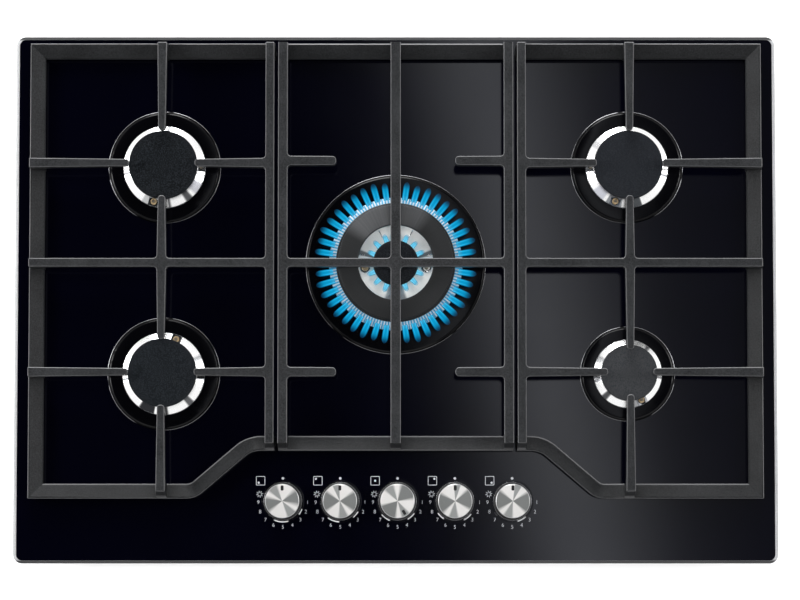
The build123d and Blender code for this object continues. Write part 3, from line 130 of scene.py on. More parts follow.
def fade(low: str, high: str, start: float = 0.3, end: float = 0.7) -> list[tuple[float, Colour]]:
    """Points of a colour ramp that goes from one hex colour to another."""
    return [(start, linear(low)), (end, linear(high))]


def clockwise(radius: float, angle: float) -> Vector:
    """Point at a radius and an angle in degrees clockwise from the rear."""
    turn = math.radians(angle)
    return Vector((radius * math.sin(turn), radius * math.cos(turn), 0.0))


def feed(tree: Tree, node: bpy.types.Node, inputs: dict[Any, Any]) -> None:
    """Set or link a node's inputs.

    Args:
        tree: the tree that holds the node.
        node: the node.
        inputs: socket name or number to a plain value, to the socket that feeds it, or to a node
            whose first output in use feeds it.
    """
    for name, value in inputs.items():
        if isinstance(value, bpy.types.Node):
            value = next(out for out in value.outputs if out.enabled)
        if isinstance(value, bpy.types.NodeSocket):
            tree.links.new(value, node.inputs[name])
        else:
            node.inputs[name].default_value = value


def add_node(tree: Tree, kind: str, inputs: dict[Any, Any] | None = None, **settings: Any) -> Any:
    """Add a shader node with its settings and links.

    Args:
        tree: the node tree to add to.
        kind: the node's type without its ShaderNode prefix.
        inputs: its inputs, as feed() takes them.
        settings: the node's own properties; stops sets the points of a colour ramp.

    Returns:
        The new node.
    """
    node = tree.nodes.new("ShaderNode" + kind)
    for name, value in settings.items():
        if name == "stops":
            ramp = node.color_ramp
            while len(ramp.elements) < len(value):
                ramp.elements.new(0.5)
            for element, (place, colour) in zip(ramp.elements, value):
                element.position = place
                element.color = colour
        else:
            setattr(node, name, value)
    feed(tree, node, inputs or {})
    return node


def new_material(name: str) -> tuple[Material, Tree]:
    """A new material and its node tree."""
    made = bpy.data.materials.new(name)
    made.use_nodes = True
    return made, made.node_tree


# ------------------------------------------------------------------ finishes


@dataclass(frozen=True)
class Finish:
    """A surface finish: its plain shader values, to which each kind adds its own pattern."""

    name: str
    colour: str
    metallic: float = 0.0
    roughness: float = 0.5
    ior: float = 1.5

    def material(self) -> Material:
        """Build the finish.

        Returns:
            The material, with its pattern nodes linked to the shader.
        """
        made, tree = new_material(self.name)
        shader = tree.nodes["Principled BSDF"]
        feed(tree, shader, {"Base Color": linear(self.colour), "Metallic": self.metallic,
                            "Roughness": self.roughness})
        if not self.metallic:
            feed(tree, shader, {"IOR": self.ior})
        feed(tree, shader, self.pattern(tree, add_node(tree, "TexCoord").outputs["Object"]))
        return made

    def pattern(self, tree: Tree, place: Any) -> dict[str, Any]:
        """Add the nodes of the finish's own pattern.

        Args:
            tree: the material's node tree.
            place: the socket of the Object coordinates.

        Returns:
            What feeds the shader, by the name of the shader's socket; a plain finish feeds nothing.
        """
        return {}


@dataclass(frozen=True)
class PolishedGlass(Finish):
    """Toughened glass, enamelled black underneath: a deep black with a clear, slightly smudged gloss."""

    smudge_mm: float = 70.0
    uneven: float = 0.4

    def pattern(self, tree: Tree, place: Any) -> dict[str, Any]:
        """Vary the gloss very slightly, as wiped glass does."""
        smudge = add_node(tree, "TexNoise", {"Vector": place, "Scale": per(self.smudge_mm), "Detail": 4.0})
        return {"Roughness": add_node(tree, "MapRange", {
            "Value": smudge, "To Min": self.roughness * (1.0 - self.uneven),
            "To Max": self.roughness * (1.0 + self.uneven)})}


@dataclass(frozen=True)
class BrushedMetal(Finish):
    """Metal brushed or drawn along X: fine lines that run the same way as the piece."""

    line_mm: float = 0.35
    line_length_mm: float = 40.0
    depth_mm: float = 0.01
    uneven: float = 0.2
    dark: str = "#9b9da0"

    def pattern(self, tree: Tree, place: Any) -> dict[str, Any]:
        """Draw the brush lines in tone, gloss and a shallow relief."""
        scale = (per(self.line_length_mm), per(self.line_mm), per(self.line_mm))
        lines = add_node(tree, "Mapping", {"Vector": place, "Scale": scale})
        grain = add_node(tree, "TexNoise", {"Vector": lines, "Scale": 1.0, "Detail": 3.0})
        return {
            "Base Color": add_node(tree, "ValToRGB", {"Fac": grain}, stops=fade(self.dark, self.colour)),
            "Roughness": add_node(tree, "MapRange", {
                "Value": grain, "To Min": self.roughness * (1.0 - self.uneven),
                "To Max": self.roughness * (1.0 + self.uneven)}),
            "Normal": add_node(tree, "Bump", {"Height": grain, "Distance": mm(self.depth_mm)}),
        }


@dataclass(frozen=True)
class TrimSteel(BrushedMetal):
    """Stainless edge trim with painted shade: from above, bright side runs, front and rear runs painted
    duller and an outer roll painted dark.
    """

    # painted shade: where the front and rear runs and the outer roll begin, and how dark they are painted
    run_mm: tuple[float, float] = (255.5, 257.5)
    run_painted_shade: float = 0.13
    roll_mm: tuple[float, float] = (373.9, 374.5)
    roll_painted_shade: float = 0.45
    upward: tuple[float, float] = (0.3, 0.8)

    def pattern(self, tree: Tree, place: Any) -> dict[str, Any]:
        """Brush the steel, then paint shade on its front and rear runs and its outer roll by how far out they
        lie.
        """
        made = super().pattern(tree, place)
        axes = add_node(tree, "SeparateXYZ", {"Vector": place})
        tones = []
        runs = (("Y", self.run_mm, self.run_painted_shade), ("X", self.roll_mm, self.roll_painted_shade))
        for axis, (start, end), tone in runs:
            reach = add_node(tree, "Math", {0: axes.outputs[axis]}, operation="ABSOLUTE")
            tones.append(add_node(tree, "MapRange", {
                "Value": reach, "From Min": mm(start), "From Max": mm(end), "To Min": 1.0, "To Max": tone}))
        # the painted shade of the runs and the roll together
        both = add_node(tree, "Math", {0: tones[0], 1: tones[1]}, operation="MULTIPLY")
        # upward faces take the painted shade fully, steeper faces less
        facing = add_node(tree, "SeparateXYZ", {"Vector": add_node(tree, "NewGeometry").outputs["Normal"]})
        level = add_node(tree, "MapRange", {"Value": facing.outputs["Z"], "From Min": self.upward[0],
                                            "From Max": self.upward[1], "To Min": 1.0, "To Max": both})
        made["Base Color"] = add_node(tree, "VectorMath", {0: made["Base Color"], "Scale": level},
                                      operation="SCALE")
        return made


@dataclass(frozen=True)
class CastIron(Finish):
    """Cast iron in matt grey-black enamel: sand grain, small pits, painted shade low down on the rails,
    painted highlights on the upper edges.
    """

    wear_and_painted_highlight: str = "#38393b"
    # the pale colour of the painted highlights on the upper edges
    edge: str = "#9d9d9f"
    grain_mm: float = 1.5
    cloud_mm: float = 28.0
    cloud_share: float = 0.25
    pit_mm: float = 1.6
    pit_depth_mm: float = 0.12
    uneven: float = 0.08
    side_share: float = 0.55
    front_share: float = 0.35

    # what grows with the height: from and to in millimetres, then its value below and above; tone is painted
    # shade on the rails, and the rest place the painted edge highlights
    LEVELS = {"tone": (74.0, 84.0, 0.72, 1.0), "lean": (76.0, 82.0, 0.0, 0.16),
              "sides": (67.0, 68.5, 0.0, 1.0), "rear": (67.0, 68.5, 0.6, 1.0), "all": (61.0, 63.0, 0.0, 1.0)}
    # how upright a rounded edge's faces are where the painted highlight falls: neither a side nor a top
    EDGE_RISE = [(0.08, BLACK), (0.2, WHITE), (0.775, WHITE), (0.8, BLACK)]

    def pattern(self, tree: Tree, place: Any) -> dict[str, Any]:
        """Mix a fine grain and a slow cloud, paint shade on the rails and paint highlights on the edges."""
        grain = add_node(tree, "TexNoise", {"Vector": place, "Scale": per(self.grain_mm), "Detail": 5.0,
                                            "Roughness": 0.65})
        cloud = add_node(tree, "TexNoise", {"Vector": place, "Scale": per(self.cloud_mm), "Detail": 3.0})
        mixed = add_node(tree, "Mix", {0: self.cloud_share, 2: grain, 3: cloud})
        enamel = add_node(tree, "ValToRGB", {"Fac": mixed}, stops=fade(self.colour, self.wear_and_painted_highlight))
        height = add_node(tree, "SeparateXYZ", {"Vector": place}).outputs["Z"]
        level = {name: add_node(tree, "MapRange", {
            "Value": height, "From Min": mm(start), "From Max": mm(end), "To Min": low, "To Max": high})
            for name, (start, end, low, high) in self.LEVELS.items()}
        # painted shade: the enamel darker low down on the rails
        enamel_with_painted_shade = add_node(tree, "VectorMath", {0: enamel, "Scale": level["tone"]}, operation="SCALE")
        pits = add_node(tree, "TexVoronoi", {"Vector": place, "Scale": per(self.pit_mm), "Randomness": 1.0})
        depth = add_node(tree, "Math", {0: pits, 1: grain}, operation="ADD")
        return {
            "Base Color": add_node(tree, "Mix", {0: self.edges(tree, level), 6: enamel_with_painted_shade, 7: linear(self.edge)},
                                   data_type="RGBA"),
            "Roughness": add_node(tree, "MapRange", {"Value": grain, "To Min": self.roughness - self.uneven,
                                                     "To Max": self.roughness + self.uneven}),
            "Normal": add_node(tree, "Bump", {"Height": depth, "Distance": mm(self.pit_depth_mm),
                                              "Strength": 0.8}),
        }

    def edges(self, tree: Tree, level: dict[str, Any]) -> Any:
        """Find the upper edges that get a painted highlight: most at the rear, least in front.

        Args:
            tree: the material's node tree.
            level: the nodes of LEVELS.

        Returns:
            The node that says how much painted highlight a spot gets.
        """
        facing = add_node(tree, "NewGeometry").outputs["True Normal"]
        normal = add_node(tree, "SeparateXYZ", {"Vector": facing})
        rise = add_node(tree, "Math", {0: normal.outputs["Z"], 1: level["lean"]}, operation="SUBTRACT")
        band = add_node(tree, "ValToRGB", {"Fac": rise}, stops=self.EDGE_RISE)
        side = add_node(tree, "Math", {0: normal.outputs["X"]}, operation="ABSOLUTE")
        side = add_node(tree, "Math", {0: side, 1: self.side_share}, operation="MULTIPLY")
        front = add_node(tree, "Math", {0: normal.outputs["Y"], 1: -self.front_share}, operation="MULTIPLY")
        side = add_node(tree, "Math", {0: side, 1: front}, operation="MAXIMUM")
        side = add_node(tree, "Math", {0: side, 1: level["sides"]}, operation="MULTIPLY")
        rear = add_node(tree, "Math", {0: normal.outputs["Y"], 1: level["rear"]}, operation="MULTIPLY")
        turned = add_node(tree, "Math", {0: side, 1: rear}, operation="MAXIMUM")
        # painted highlight on the edges, strongest where they face the rear
        wear_and_painted_highlight = add_node(tree, "Math", {0: band, 1: turned}, operation="MULTIPLY")
        return add_node(tree, "Math", {0: wear_and_painted_highlight, 1: level["all"]}, operation="MULTIPLY", use_clamp=True)


@dataclass(frozen=True)
class MattEnamel(Finish):
    """Matt vitreous enamel on pressed steel: near black, with fine pale specks in the glaze."""

    speck: str = "#24272b"
    speck_mm: float = 1.0
    depth_mm: float = 0.05

    def pattern(self, tree: Tree, place: Any) -> dict[str, Any]:
        """Scatter the specks and give the glaze a fine orange-peel."""
        specks = add_node(tree, "TexNoise", {"Vector": place, "Scale": per(self.speck_mm), "Detail": 2.0})
        return {
            "Base Color": add_node(tree, "ValToRGB", {"Fac": specks},
                                   stops=fade(self.colour, self.speck, 0.44, 0.66)),
            "Normal": add_node(tree, "Bump", {"Height": specks, "Distance": mm(self.depth_mm),
                                              "Strength": 0.6}),
        }


@dataclass(frozen=True)
class GlossEnamel(Finish):
    """Gloss black vitreous enamel: deep black, with the faint waviness of a fired glaze."""

    wave_mm: float = 9.0
    depth_mm: float = 0.03

    def pattern(self, tree: Tree, place: Any) -> dict[str, Any]:
        """Add the fired waviness."""
        wave = add_node(tree, "TexNoise", {"Vector": place, "Scale": per(self.wave_mm), "Detail": 1.0})
        return {"Normal": add_node(tree, "Bump", {"Height": wave, "Distance": mm(self.depth_mm)})}


@dataclass(frozen=True)
class Band:
    """A stretch of another tone round an axis, for painted reflections and painted shade: its middle, half
    width and soft edge in degrees.
    """

    angle: float
    half: float
    colour: str
    soft: float = 1.5


def mirrored(bands: tuple[Band, ...]) -> tuple[Band, ...]:
    """The same bands seen from the other side, in the order of their angles."""
    return tuple(Band(360.0 - b.angle, b.half, b.colour, b.soft) for b in reversed(bands))


@dataclass(frozen=True)
class Radial(Finish):
    """A finish worked round an axis: lathe rings, and stretches of other tones by the angle.

    The stretches are painted reflections and painted shade: what a turned and polished ring would mirror,
    such as lamps, dark edges and its own ports, fixed on the surface.
    """

    centre: tuple[float, float] = (0.0, 0.0)
    turn: float = 0.0
    bands: tuple[Band, ...] = ()
    ring_mm: float = 0.5
    ring_depth_mm: float = 0.004
    uneven: float = 0.15
    streak: float = 0.1
    streaks: float = 180.0
    # teeth: that many dashes of painted light round the ring
    teeth: int = 0
    painted_tooth_light: str = "#ffffff"

    def stops(self) -> list[tuple[float, Colour]]:
        """Points of the ramp round the axis, with the plain colour between the bands."""
        plain = linear(self.colour)
        points = [(0.0, plain)]
        for band in self.bands:
            tone, outer = linear(band.colour), band.half + band.soft
            for angle, colour in ((band.angle - outer, plain), (band.angle - band.half, tone),
                                  (band.angle + band.half, tone), (band.angle + outer, plain)):
                points.append((min(1.0, max(0.0, angle / 360.0)), colour))
        return points + [(1.0, plain)]

    def pattern(self, tree: Tree, place: Any) -> dict[str, Any]:
        """Paint reflections and shade by the angle round the axis, add fine radial streaks and cut the rings.
        """
        x, y = self.centre
        centred = add_node(tree, "Mapping", {"Vector": place, "Location": (-mm(x), -mm(y), 0.0)})
        axes = add_node(tree, "SeparateXYZ", {"Vector": centred})
        angle = add_node(tree, "Math", {0: axes.outputs["X"], 1: axes.outputs["Y"]}, operation="ARCTAN2")
        share = add_node(tree, "Math", {0: angle, 1: 0.5 / math.pi, 2: 1.0 - self.turn / 360.0},
                         operation="MULTIPLY_ADD")
        share = add_node(tree, "Math", {0: share}, operation="FRACT")
        colour = add_node(tree, "ValToRGB", {"Fac": share}, stops=self.stops())
        if self.teeth:
            turns = add_node(tree, "Math", {0: share, 1: float(self.teeth)}, operation="MULTIPLY")
            saw = add_node(tree, "Math", {0: turns, 1: 1.0}, operation="PINGPONG")
            cut = add_node(tree, "MapRange", {"Value": saw, "From Min": 0.4, "From Max": 0.6})
            colour = add_node(tree, "Mix", {0: cut, 6: colour, 7: linear(self.painted_tooth_light)}, data_type="RGBA")
        if self.streak:
            along = add_node(tree, "Math", {0: share, 1: self.streaks}, operation="MULTIPLY")
            fine = add_node(tree, "TexNoise", {"W": along, "Scale": 1.0, "Detail": 3.0},
                            noise_dimensions="1D")
            level = add_node(tree, "MapRange", {"Value": fine, "To Min": 1.0 - 2.0 * self.streak})
            colour = add_node(tree, "VectorMath", {0: colour, "Scale": level}, operation="SCALE")
        # a wave repeats once in 2 pi of its scale
        rings = add_node(tree, "TexWave", {
            "Vector": centred, "Scale": per(self.ring_mm) / 6.28, "Distortion": 0.5, "Detail": 1.0},
            wave_type="RINGS", rings_direction="Z").outputs["Fac"]
        return {
            "Base Color": colour,
            "Roughness": add_node(tree, "MapRange", {
                "Value": rings, "To Min": self.roughness * (1.0 - self.uneven),
                "To Max": self.roughness * (1.0 + self.uneven)}),
            "Normal": add_node(tree, "Bump", {"Height": rings, "Distance": mm(self.ring_depth_mm)}),
        }


@dataclass(frozen=True)
class Galvanised(Finish):
    """Hot-dip galvanised sheet: grey zinc crystals a few millimetres wide."""

    crystal_mm: float = 7.0
    uneven: float = 0.1
    dark: str = "#8a8e92"

    def pattern(self, tree: Tree, place: Any) -> dict[str, Any]:
        """Tone each crystal and let the gloss follow it."""
        crystal = add_node(tree, "TexVoronoi", {"Vector": place, "Scale": per(self.crystal_mm)})
        tone = add_node(tree, "RGBToBW", {"Color": crystal.outputs["Color"]})
        return {
            "Base Color": add_node(tree, "ValToRGB", {"Fac": tone}, stops=fade(self.dark, self.colour)),
            "Roughness": add_node(tree, "MapRange", {"Value": tone, "To Min": self.roughness - self.uneven,
                                                     "To Max": self.roughness + self.uneven}),
        }


@dataclass(frozen=True)
class Moulded(Finish):
    """Moulded, printed or plated surface: an even colour with a fine eroded texture."""

    texture_mm: float = 0.8
    depth_mm: float = 0.04
    uneven: float = 0.06

    def pattern(self, tree: Tree, place: Any) -> dict[str, Any]:
        """Add the texture of the mould."""
        grain = add_node(tree, "TexNoise", {"Vector": place, "Scale": per(self.texture_mm), "Detail": 3.0})
        return {
            "Roughness": add_node(tree, "MapRange", {"Value": grain, "To Min": self.roughness - self.uneven,
                                                     "To Max": self.roughness + self.uneven}),
            "Normal": add_node(tree, "Bump", {"Height": grain, "Distance": mm(self.depth_mm)}),
        }


@dataclass(frozen=True)
class Flame(Finish):
    """Burning gas: pale cyan at the port, blue along the body, fading to clear at the tip."""

    root: str = "#8edef8"
    lobe: str = "#36c2f4"
    body: str = "#0590c2"
    tip: str = "#12305a"
    edge: str = "#0b426c"

    ALONG = "gas_along"
    ACROSS = "gas_across"

    def material(self) -> Material:
        """Build the flame from the piece's own attributes: along it 0 to 1, across it 0 to 1 at the sides.

        Returns:
            The material: glowing gas mixed with clear air.
        """
        made, tree = new_material(self.name)
        tree.nodes.remove(tree.nodes["Principled BSDF"])
        root, lobe, colour = map(linear, (self.root, self.lobe, self.colour))
        body, tip, edge = map(linear, (self.body, self.tip, self.edge))
        along = add_node(tree, "Attribute", attribute_name=self.ALONG).outputs["Fac"]
        side = add_node(tree, "Attribute", attribute_name=self.ACROSS).outputs["Fac"]
        core = add_node(tree, "ValToRGB", {"Fac": along},
                        stops=[(0.0, root), (0.25, colour), (0.6, body), (1.0, tip)])
        flank = add_node(tree, "ValToRGB", {"Fac": side},
                         stops=[(0.0, body), (0.3, body), (0.55, lobe), (0.8, colour), (1.0, edge)])
        upper = add_node(tree, "MapRange", {"Value": along, "From Min": 0.2, "From Max": 0.75, "To Min": 0.2,
                                            "To Max": 0.9})
        gas = add_node(tree, "Mix", {0: upper, 6: flank, 7: core}, data_type="RGBA")
        rim = add_node(tree, "MapRange", {"Value": side, "From Min": 0.7, "From Max": 1.0, "To Max": 0.75})
        gas = add_node(tree, "Mix", {0: rim, 6: gas, 7: edge}, data_type="RGBA")
        thin = add_node(tree, "MapRange", {"Value": along, "From Min": 0.45, "From Max": 1.0, "To Min": 0.96,
                                           "To Max": 0.15}, interpolation_type="SMOOTHSTEP")
        mixed = add_node(tree, "MixShader", {0: thin, 1: add_node(tree, "BsdfTransparent"),
                                             2: add_node(tree, "Emission", {"Color": gas, "Strength": 1.0})})
        feed(tree, tree.nodes["Material Output"], {"Surface": mixed})
        return made


class Palette:
    """Every finish on the cooktop, built once and handed out by name."""

    SHARED = (
        PolishedGlass("toughened_black_glass", "#020209", roughness=0.08, ior=1.52),
        TrimSteel("satin_stainless_trim", "#cbcbcd", metallic=0.75, roughness=0.5, dark="#b4b5b7"),
        CastIron("enamelled_cast_iron", "#0f1011", roughness=0.4, ior=1.2),
        MattEnamel("matt_black_enamel", "#0c0e11", roughness=0.32, ior=1.2),
        GlossEnamel("gloss_black_enamel", "#030305", roughness=0.15, ior=1.3),
        Galvanised("galvanised_steel", "#b4b8bb", metallic=0.85, roughness=0.42),
        BrushedMetal("zinc_plated_steel", "#b9bcbf", metallic=1.0, roughness=0.34, dark="#85888b"),
        BrushedMetal("machined_brass", "#c9a24c", metallic=1.0, roughness=0.28, dark="#a17c30"),
        BrushedMetal("drawn_aluminium", "#cdd0d3", metallic=1.0, roughness=0.32, dark="#a6a9ac"),
        Moulded("die_cast_aluminium", "#a4a7aa", metallic=0.9, roughness=0.48, texture_mm=1.2),
        Moulded("closed_cell_foam", "#1c1c1d", roughness=0.9, texture_mm=1.5, depth_mm=0.15),
        Moulded("black_silicone", "#141416", roughness=0.6, depth_mm=0.03),
        Moulded("lead_silicone", "#d8d4c8", roughness=0.55, depth_mm=0.02),
        Moulded("grey_polyamide", "#d0d0cc", roughness=0.5, depth_mm=0.03),
        Moulded("glazed_ceramic", "#a58f6d", roughness=0.3, texture_mm=0.5, depth_mm=0.01),
        Moulded("dial_print", "#b9bbc0", roughness=0.6, texture_mm=0.6, depth_mm=0.005),
        Moulded("black_polymer", "#060607", roughness=0.45, depth_mm=0.01),
        Moulded("heat_tinted_steel", "#a39a8c", metallic=1.0, roughness=0.35, depth_mm=0.01),
        # painted shade for a shadowed well
        Moulded("painted_recess_shade", "#1b1c1d", roughness=0.5, depth_mm=0.01),
        Moulded("dark_chrome", "#8c8c8e", metallic=1.0, roughness=0.25, depth_mm=0.002),
        Moulded("polished_edge", "#b8b8ba", metallic=1.0, roughness=0.3, depth_mm=0.002),
        Moulded("bright_steel", "#f2f2f2", metallic=1.0, roughness=0.16, depth_mm=0.002),
        Flame("burning_gas", "#10a9de"),
        Flame("burning_gas_low", "#6ccaec", root="#8fd9f3", lobe="#8fd9f3", body="#5dc0e6", tip="#3d9cc6",
              edge="#23708f"),
    )

    def __init__(self) -> None:
        """Start with no material made."""
        self.made: dict[str, Material] = {}

    def get(self, name: str) -> Material:
        """Shared finish of that name, as a material."""
        return self.keep(next(finish for finish in self.SHARED if finish.name == name))

    def keep(self, finish: Finish) -> Material:
        """A finish as a material, made the first time it is asked for."""
        if finish.name not in self.made:
            self.made[finish.name] = finish.material()
        return self.made[finish.name]


# ------------------------------------------------------------------ modelling


@dataclass(frozen=True)
class Round:
    """Axis, radius and heights of a round node in millimetres, read from the frame."""

    x: float
    y: float
    radius: float
    low: float
    high: float

    @classmethod
    def of(cls, node: str) -> "Round":
        """Read a node's box."""
        low, high = (corner * 1000.0 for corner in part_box(node))
        return cls((low.x + high.x) / 2, (low.y + high.y) / 2, (high.x - low.x) / 2, low.z, high.z)

    @property
    def centre(self) -> tuple[float, float]:
        """The axis in plan."""
        return (self.x, self.y)


@dataclass
class Turned:
    """Section of a turned piece: corners (radius, height, rounding) in millimetres."""

    corners: list[Corner]
    steps: int = 128
    rounding_segments: int = 4

    def mesh(self, x: float, y: float) -> Mesh:
        """Round the section's corners and turn it about an upright axis.

        Args:
            x: the axis in plan, in millimetres.
            y: the axis in plan, in millimetres.

        Returns:
            The closed mesh, with its faces outwards.
        """
        shape = bmesh.new()
        verts = [shape.verts.new((mm(radius), 0.0, mm(height))) for radius, height, _ in self.corners]
        for vert, other in zip(verts, verts[1:] + verts[:1]):
            if vert.co.x > SEAM or other.co.x > SEAM:
                shape.edges.new((vert, other))
        for vert, (_, _, rounding) in zip(verts, self.corners):
            if rounding > 0.0:
                bmesh.ops.bevel(shape, geom=[vert], offset=mm(rounding), segments=self.rounding_segments,
                                profile=0.5, affect="VERTICES", material=-1)
        bmesh.ops.spin(shape, geom=shape.verts[:] + shape.edges[:], cent=(0, 0, 0), axis=(0, 0, 1),
                       dvec=(0, 0, 0), angle=2 * math.pi, steps=self.steps, use_merge=True)
        bmesh.ops.remove_doubles(shape, verts=shape.verts[:], dist=SEAM)
        bmesh.ops.recalc_face_normals(shape, faces=shape.faces[:])
        bmesh.ops.translate(shape, verts=shape.verts[:], vec=(mm(x), mm(y), 0.0))
        return shape


def flat_ring(inner: float, outer: float, low: float, height: float, rounding: float = 0.0) -> list[Corner]:
    """Section of a flat ring whose upper corners are rounded, or of a disc where inner is 0."""
    return [(inner, low, 0.0), (outer, low, 0.0), (outer, low + height, rounding),
            (inner, low + height, rounding if inner else 0.0)]


def join(parts: Iterable[Mesh]) -> Mesh:
    """Put several meshes into one, and free them.

    Args:
        parts: the meshes.

    Returns:
        One mesh with all their faces.
    """
    whole = bmesh.new()
    for part in parts:
        scratch = bpy.data.meshes.new("scratch")
        part.to_mesh(scratch)
        part.free()
        whole.from_mesh(scratch)
        bpy.data.meshes.remove(scratch)
    return whole


def rotate(shape: Mesh, degrees: float, axis: str) -> None:
    """Turn a mesh about an axis through the origin."""
    bmesh.ops.rotate(shape, cent=(0, 0, 0), matrix=Matrix.Rotation(math.radians(degrees), 3, axis),
                     verts=shape.verts[:])


def cube(size: tuple[float, float, float]) -> Mesh:
    """Box of a size in metres, round the origin."""
    shape = bmesh.new()
    bmesh.ops.create_cube(shape, size=1.0)
    bmesh.ops.scale(shape, vec=size, verts=shape.verts[:])
    return shape


def new_object(name: str, shape: Mesh, material: Material) -> bpy.types.Object:
    """Object with a mesh and a finish, in the scene; the mesh in hand is freed."""
    mesh = bpy.data.meshes.new(name)
    shape.to_mesh(mesh)
    shape.free()
    mesh.materials.append(material)
    made = bpy.data.objects.new(name, mesh)
    bpy.context.scene.collection.objects.link(made)
    return made


def piece(name: str, shape: Mesh, material: Material, body: str,
          node: str | None = None, crease: float = 32.0) -> None:
    """Turn a mesh into a piece of the cooktop.

    Args:
        name: the piece's name.
        shape: its mesh, in place; it is freed.
        material: its finish.
        body: the body that it moves with.
        node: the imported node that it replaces.
        crease: angle in degrees from which an edge stays sharp.
    """
    made = new_object(name, shape, material)
    made.data.polygons.foreach_set("use_smooth", [True] * len(made.data.polygons))
    made.data.set_sharp_from_angle(angle=math.radians(crease))
    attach(made, body)
    if node:
        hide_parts(node)
    LOG.info("%s: %d faces, rides on %s", name, len(made.data.polygons), body)


def dress(node: bpy.types.Object, material: Material) -> None:
    """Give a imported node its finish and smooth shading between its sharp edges."""
    node.data.materials.clear()
    node.data.materials.append(material)
    node.data.polygons.foreach_set("use_smooth", [True] * len(node.data.polygons))
    node.modifiers.new("weld", "WELD").merge_threshold = mm(WELD_MM)
    node.modifiers.new("crease", "EDGE_SPLIT").split_angle = math.radians(CREASE_DEG)
    LOG.info("%s: packed node dressed in %s", node.name, material.name)


# ------------------------------------------------------------------ the cooktop's sub-assemblies


@dataclass
class Assembly:
    """What every sub-assembly works with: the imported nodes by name, and the finishes."""

    nodes: dict[str, bpy.types.Object]
    palette: Palette


@dataclass
class PackedPieces(Assembly):
    """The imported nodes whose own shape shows: each gets its finish."""

    FINISHES = {
        "toughened_black_glass": ["glass_top"],
        "satin_stainless_trim": ["edge_trim"],
        "enamelled_cast_iron": ["grate_centre"],
        "galvanised_steel": ["bottom_casing"],
        "gloss_black_enamel": ["burner_skirts", "wok_skirt"],
        "closed_cell_foam": ["sealing_strip", "skirt_gaskets"],
        "die_cast_aluminium": ["burner_cups", "wok_cup"],
        "machined_brass": ["injectors", "inlet_elbow", "tap_bodies"] + [f"tap_plug_{n}" for n in KNOBS],
        "zinc_plated_steel": ["cup_screws", "tap_bonnets", "return_springs", "worktop_clips",
                              "clip_screws"] + [f"spindle_{n}" for n in KNOBS],
        "drawn_aluminium": ["manifold", "burner_pipes"],
        "glazed_ceramic": ["spark_plugs"],
        "heat_tinted_steel": ["spark_pins", "thermocouples"],
        "black_silicone": ["stem_seals", "grate_left_feet", "grate_centre_feet", "grate_right_feet"],
        "grey_polyamide": ["spark_generator", "ignition_switches", "terminal_block"],
        "lead_silicone": ["spark_leads"],
        "black_polymer": ["cable_gland"],
    }

    def build(self) -> None:
        """Dress every listed node."""
        for finish, names in self.FINISHES.items():
            for name in names:
                dress(self.nodes[name], self.palette.get(finish))


@dataclass
class SideGrates(Assembly):
    """The two side castings, with the edges of their bars and legs rounded as they leave the mould."""

    round_mm: float = 0.8
    square_deg: float = 75.0
    legs_from_mm: float = 72.0
    flat_deg: float = 0.4
    crease_deg: float = 20.0

    def square(self, edge: bmesh.types.BMEdge) -> bool:
        """Whether an edge is a square one of a bar or a leg, above the rail's slope."""
        return (edge.is_manifold and edge.calc_face_angle() > math.radians(self.square_deg)
                and min(vert.co.z for vert in edge.verts) > mm(self.legs_from_mm))

    def casting(self, name: str) -> None:
        """Copy a packed side grate, and round its bars' and legs' edges.

        Args:
            name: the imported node, which is also its body.
        """
        shape = bmesh.new()
        shape.from_mesh(self.nodes[name].data)
        bmesh.ops.remove_doubles(shape, verts=shape.verts[:], dist=mm(WELD_MM))
        bmesh.ops.dissolve_limit(shape, angle_limit=math.radians(self.flat_deg), verts=shape.verts[:],
                                 edges=shape.edges[:])
        bmesh.ops.bevel(shape, geom=[edge for edge in shape.edges if self.square(edge)],
                        offset=mm(self.round_mm), offset_type="OFFSET", segments=2, profile=0.5,
                        affect="EDGES", clamp_overlap=False, loop_slide=False, material=-1)
        piece(f"{name}_casting", shape, self.palette.get("enamelled_cast_iron"), name, name,
              self.crease_deg)

    def build(self) -> None:
        """Make both side grates."""
        for side in ("left", "right"):
            self.casting(f"grate_{side}")


@dataclass
class SkirtRim:
    """Thin polished edge of a skirt, with painted reflections: its shine is painted broken where it would
    mirror nothing bright.
    """

    palette: Palette
    inner_mm: float = 0.2
    width_mm: float = 0.45
    edge_mm: float = 0.12
    height_mm: float = 0.4

    # painted reflections and painted shade round the rim, by angle
    RIM_REFLECTIONS = (Band(6.5, 2.0, "#050506"), Band(58.0, 4.0, "#4a4a4c", 3.0), Band(196.0, 13.0, "#050506", 4.0),
             Band(261.0, 3.0, "#151517"), Band(330.0, 8.0, "#8a8a8c", 12.0))

    def build(self, name: str, seat: Round, low: float, radius: float, bands: tuple[Band, ...]) -> None:
        """Model the rim round a burner at a height and radius."""
        outer = radius + self.width_mm
        corners = [(radius - self.inner_mm, low, 0.0), (outer, low, 0.0), (outer, low + self.edge_mm, 0.0),
                   (radius - self.inner_mm / 2, low + self.height_mm, 0.08)]
        finish = Radial(name + "_painted_shine", "#7c7c7e", metallic=1.0, roughness=0.36, centre=seat.centre,
                        bands=bands, streak=0.02)
        piece(name, Turned(corners, 180, 3).mesh(seat.x, seat.y), self.palette.keep(finish), "root")


@dataclass
class Cap:
    """Drop-in rim under an enamelled cap: how deep it is, and how far in from the edge."""

    drop_mm: float = 1.5
    inset_mm: float = 4.3

    def underside(self, edge: float, rim: float, low: float, soft: float = 0.3) -> list[Corner]:
        """The section from the foot of a cap's edge in to its rim's foot."""
        return [(edge, low + self.drop_mm, soft), (rim, low + self.drop_mm, 0.0), (rim, low, soft)]


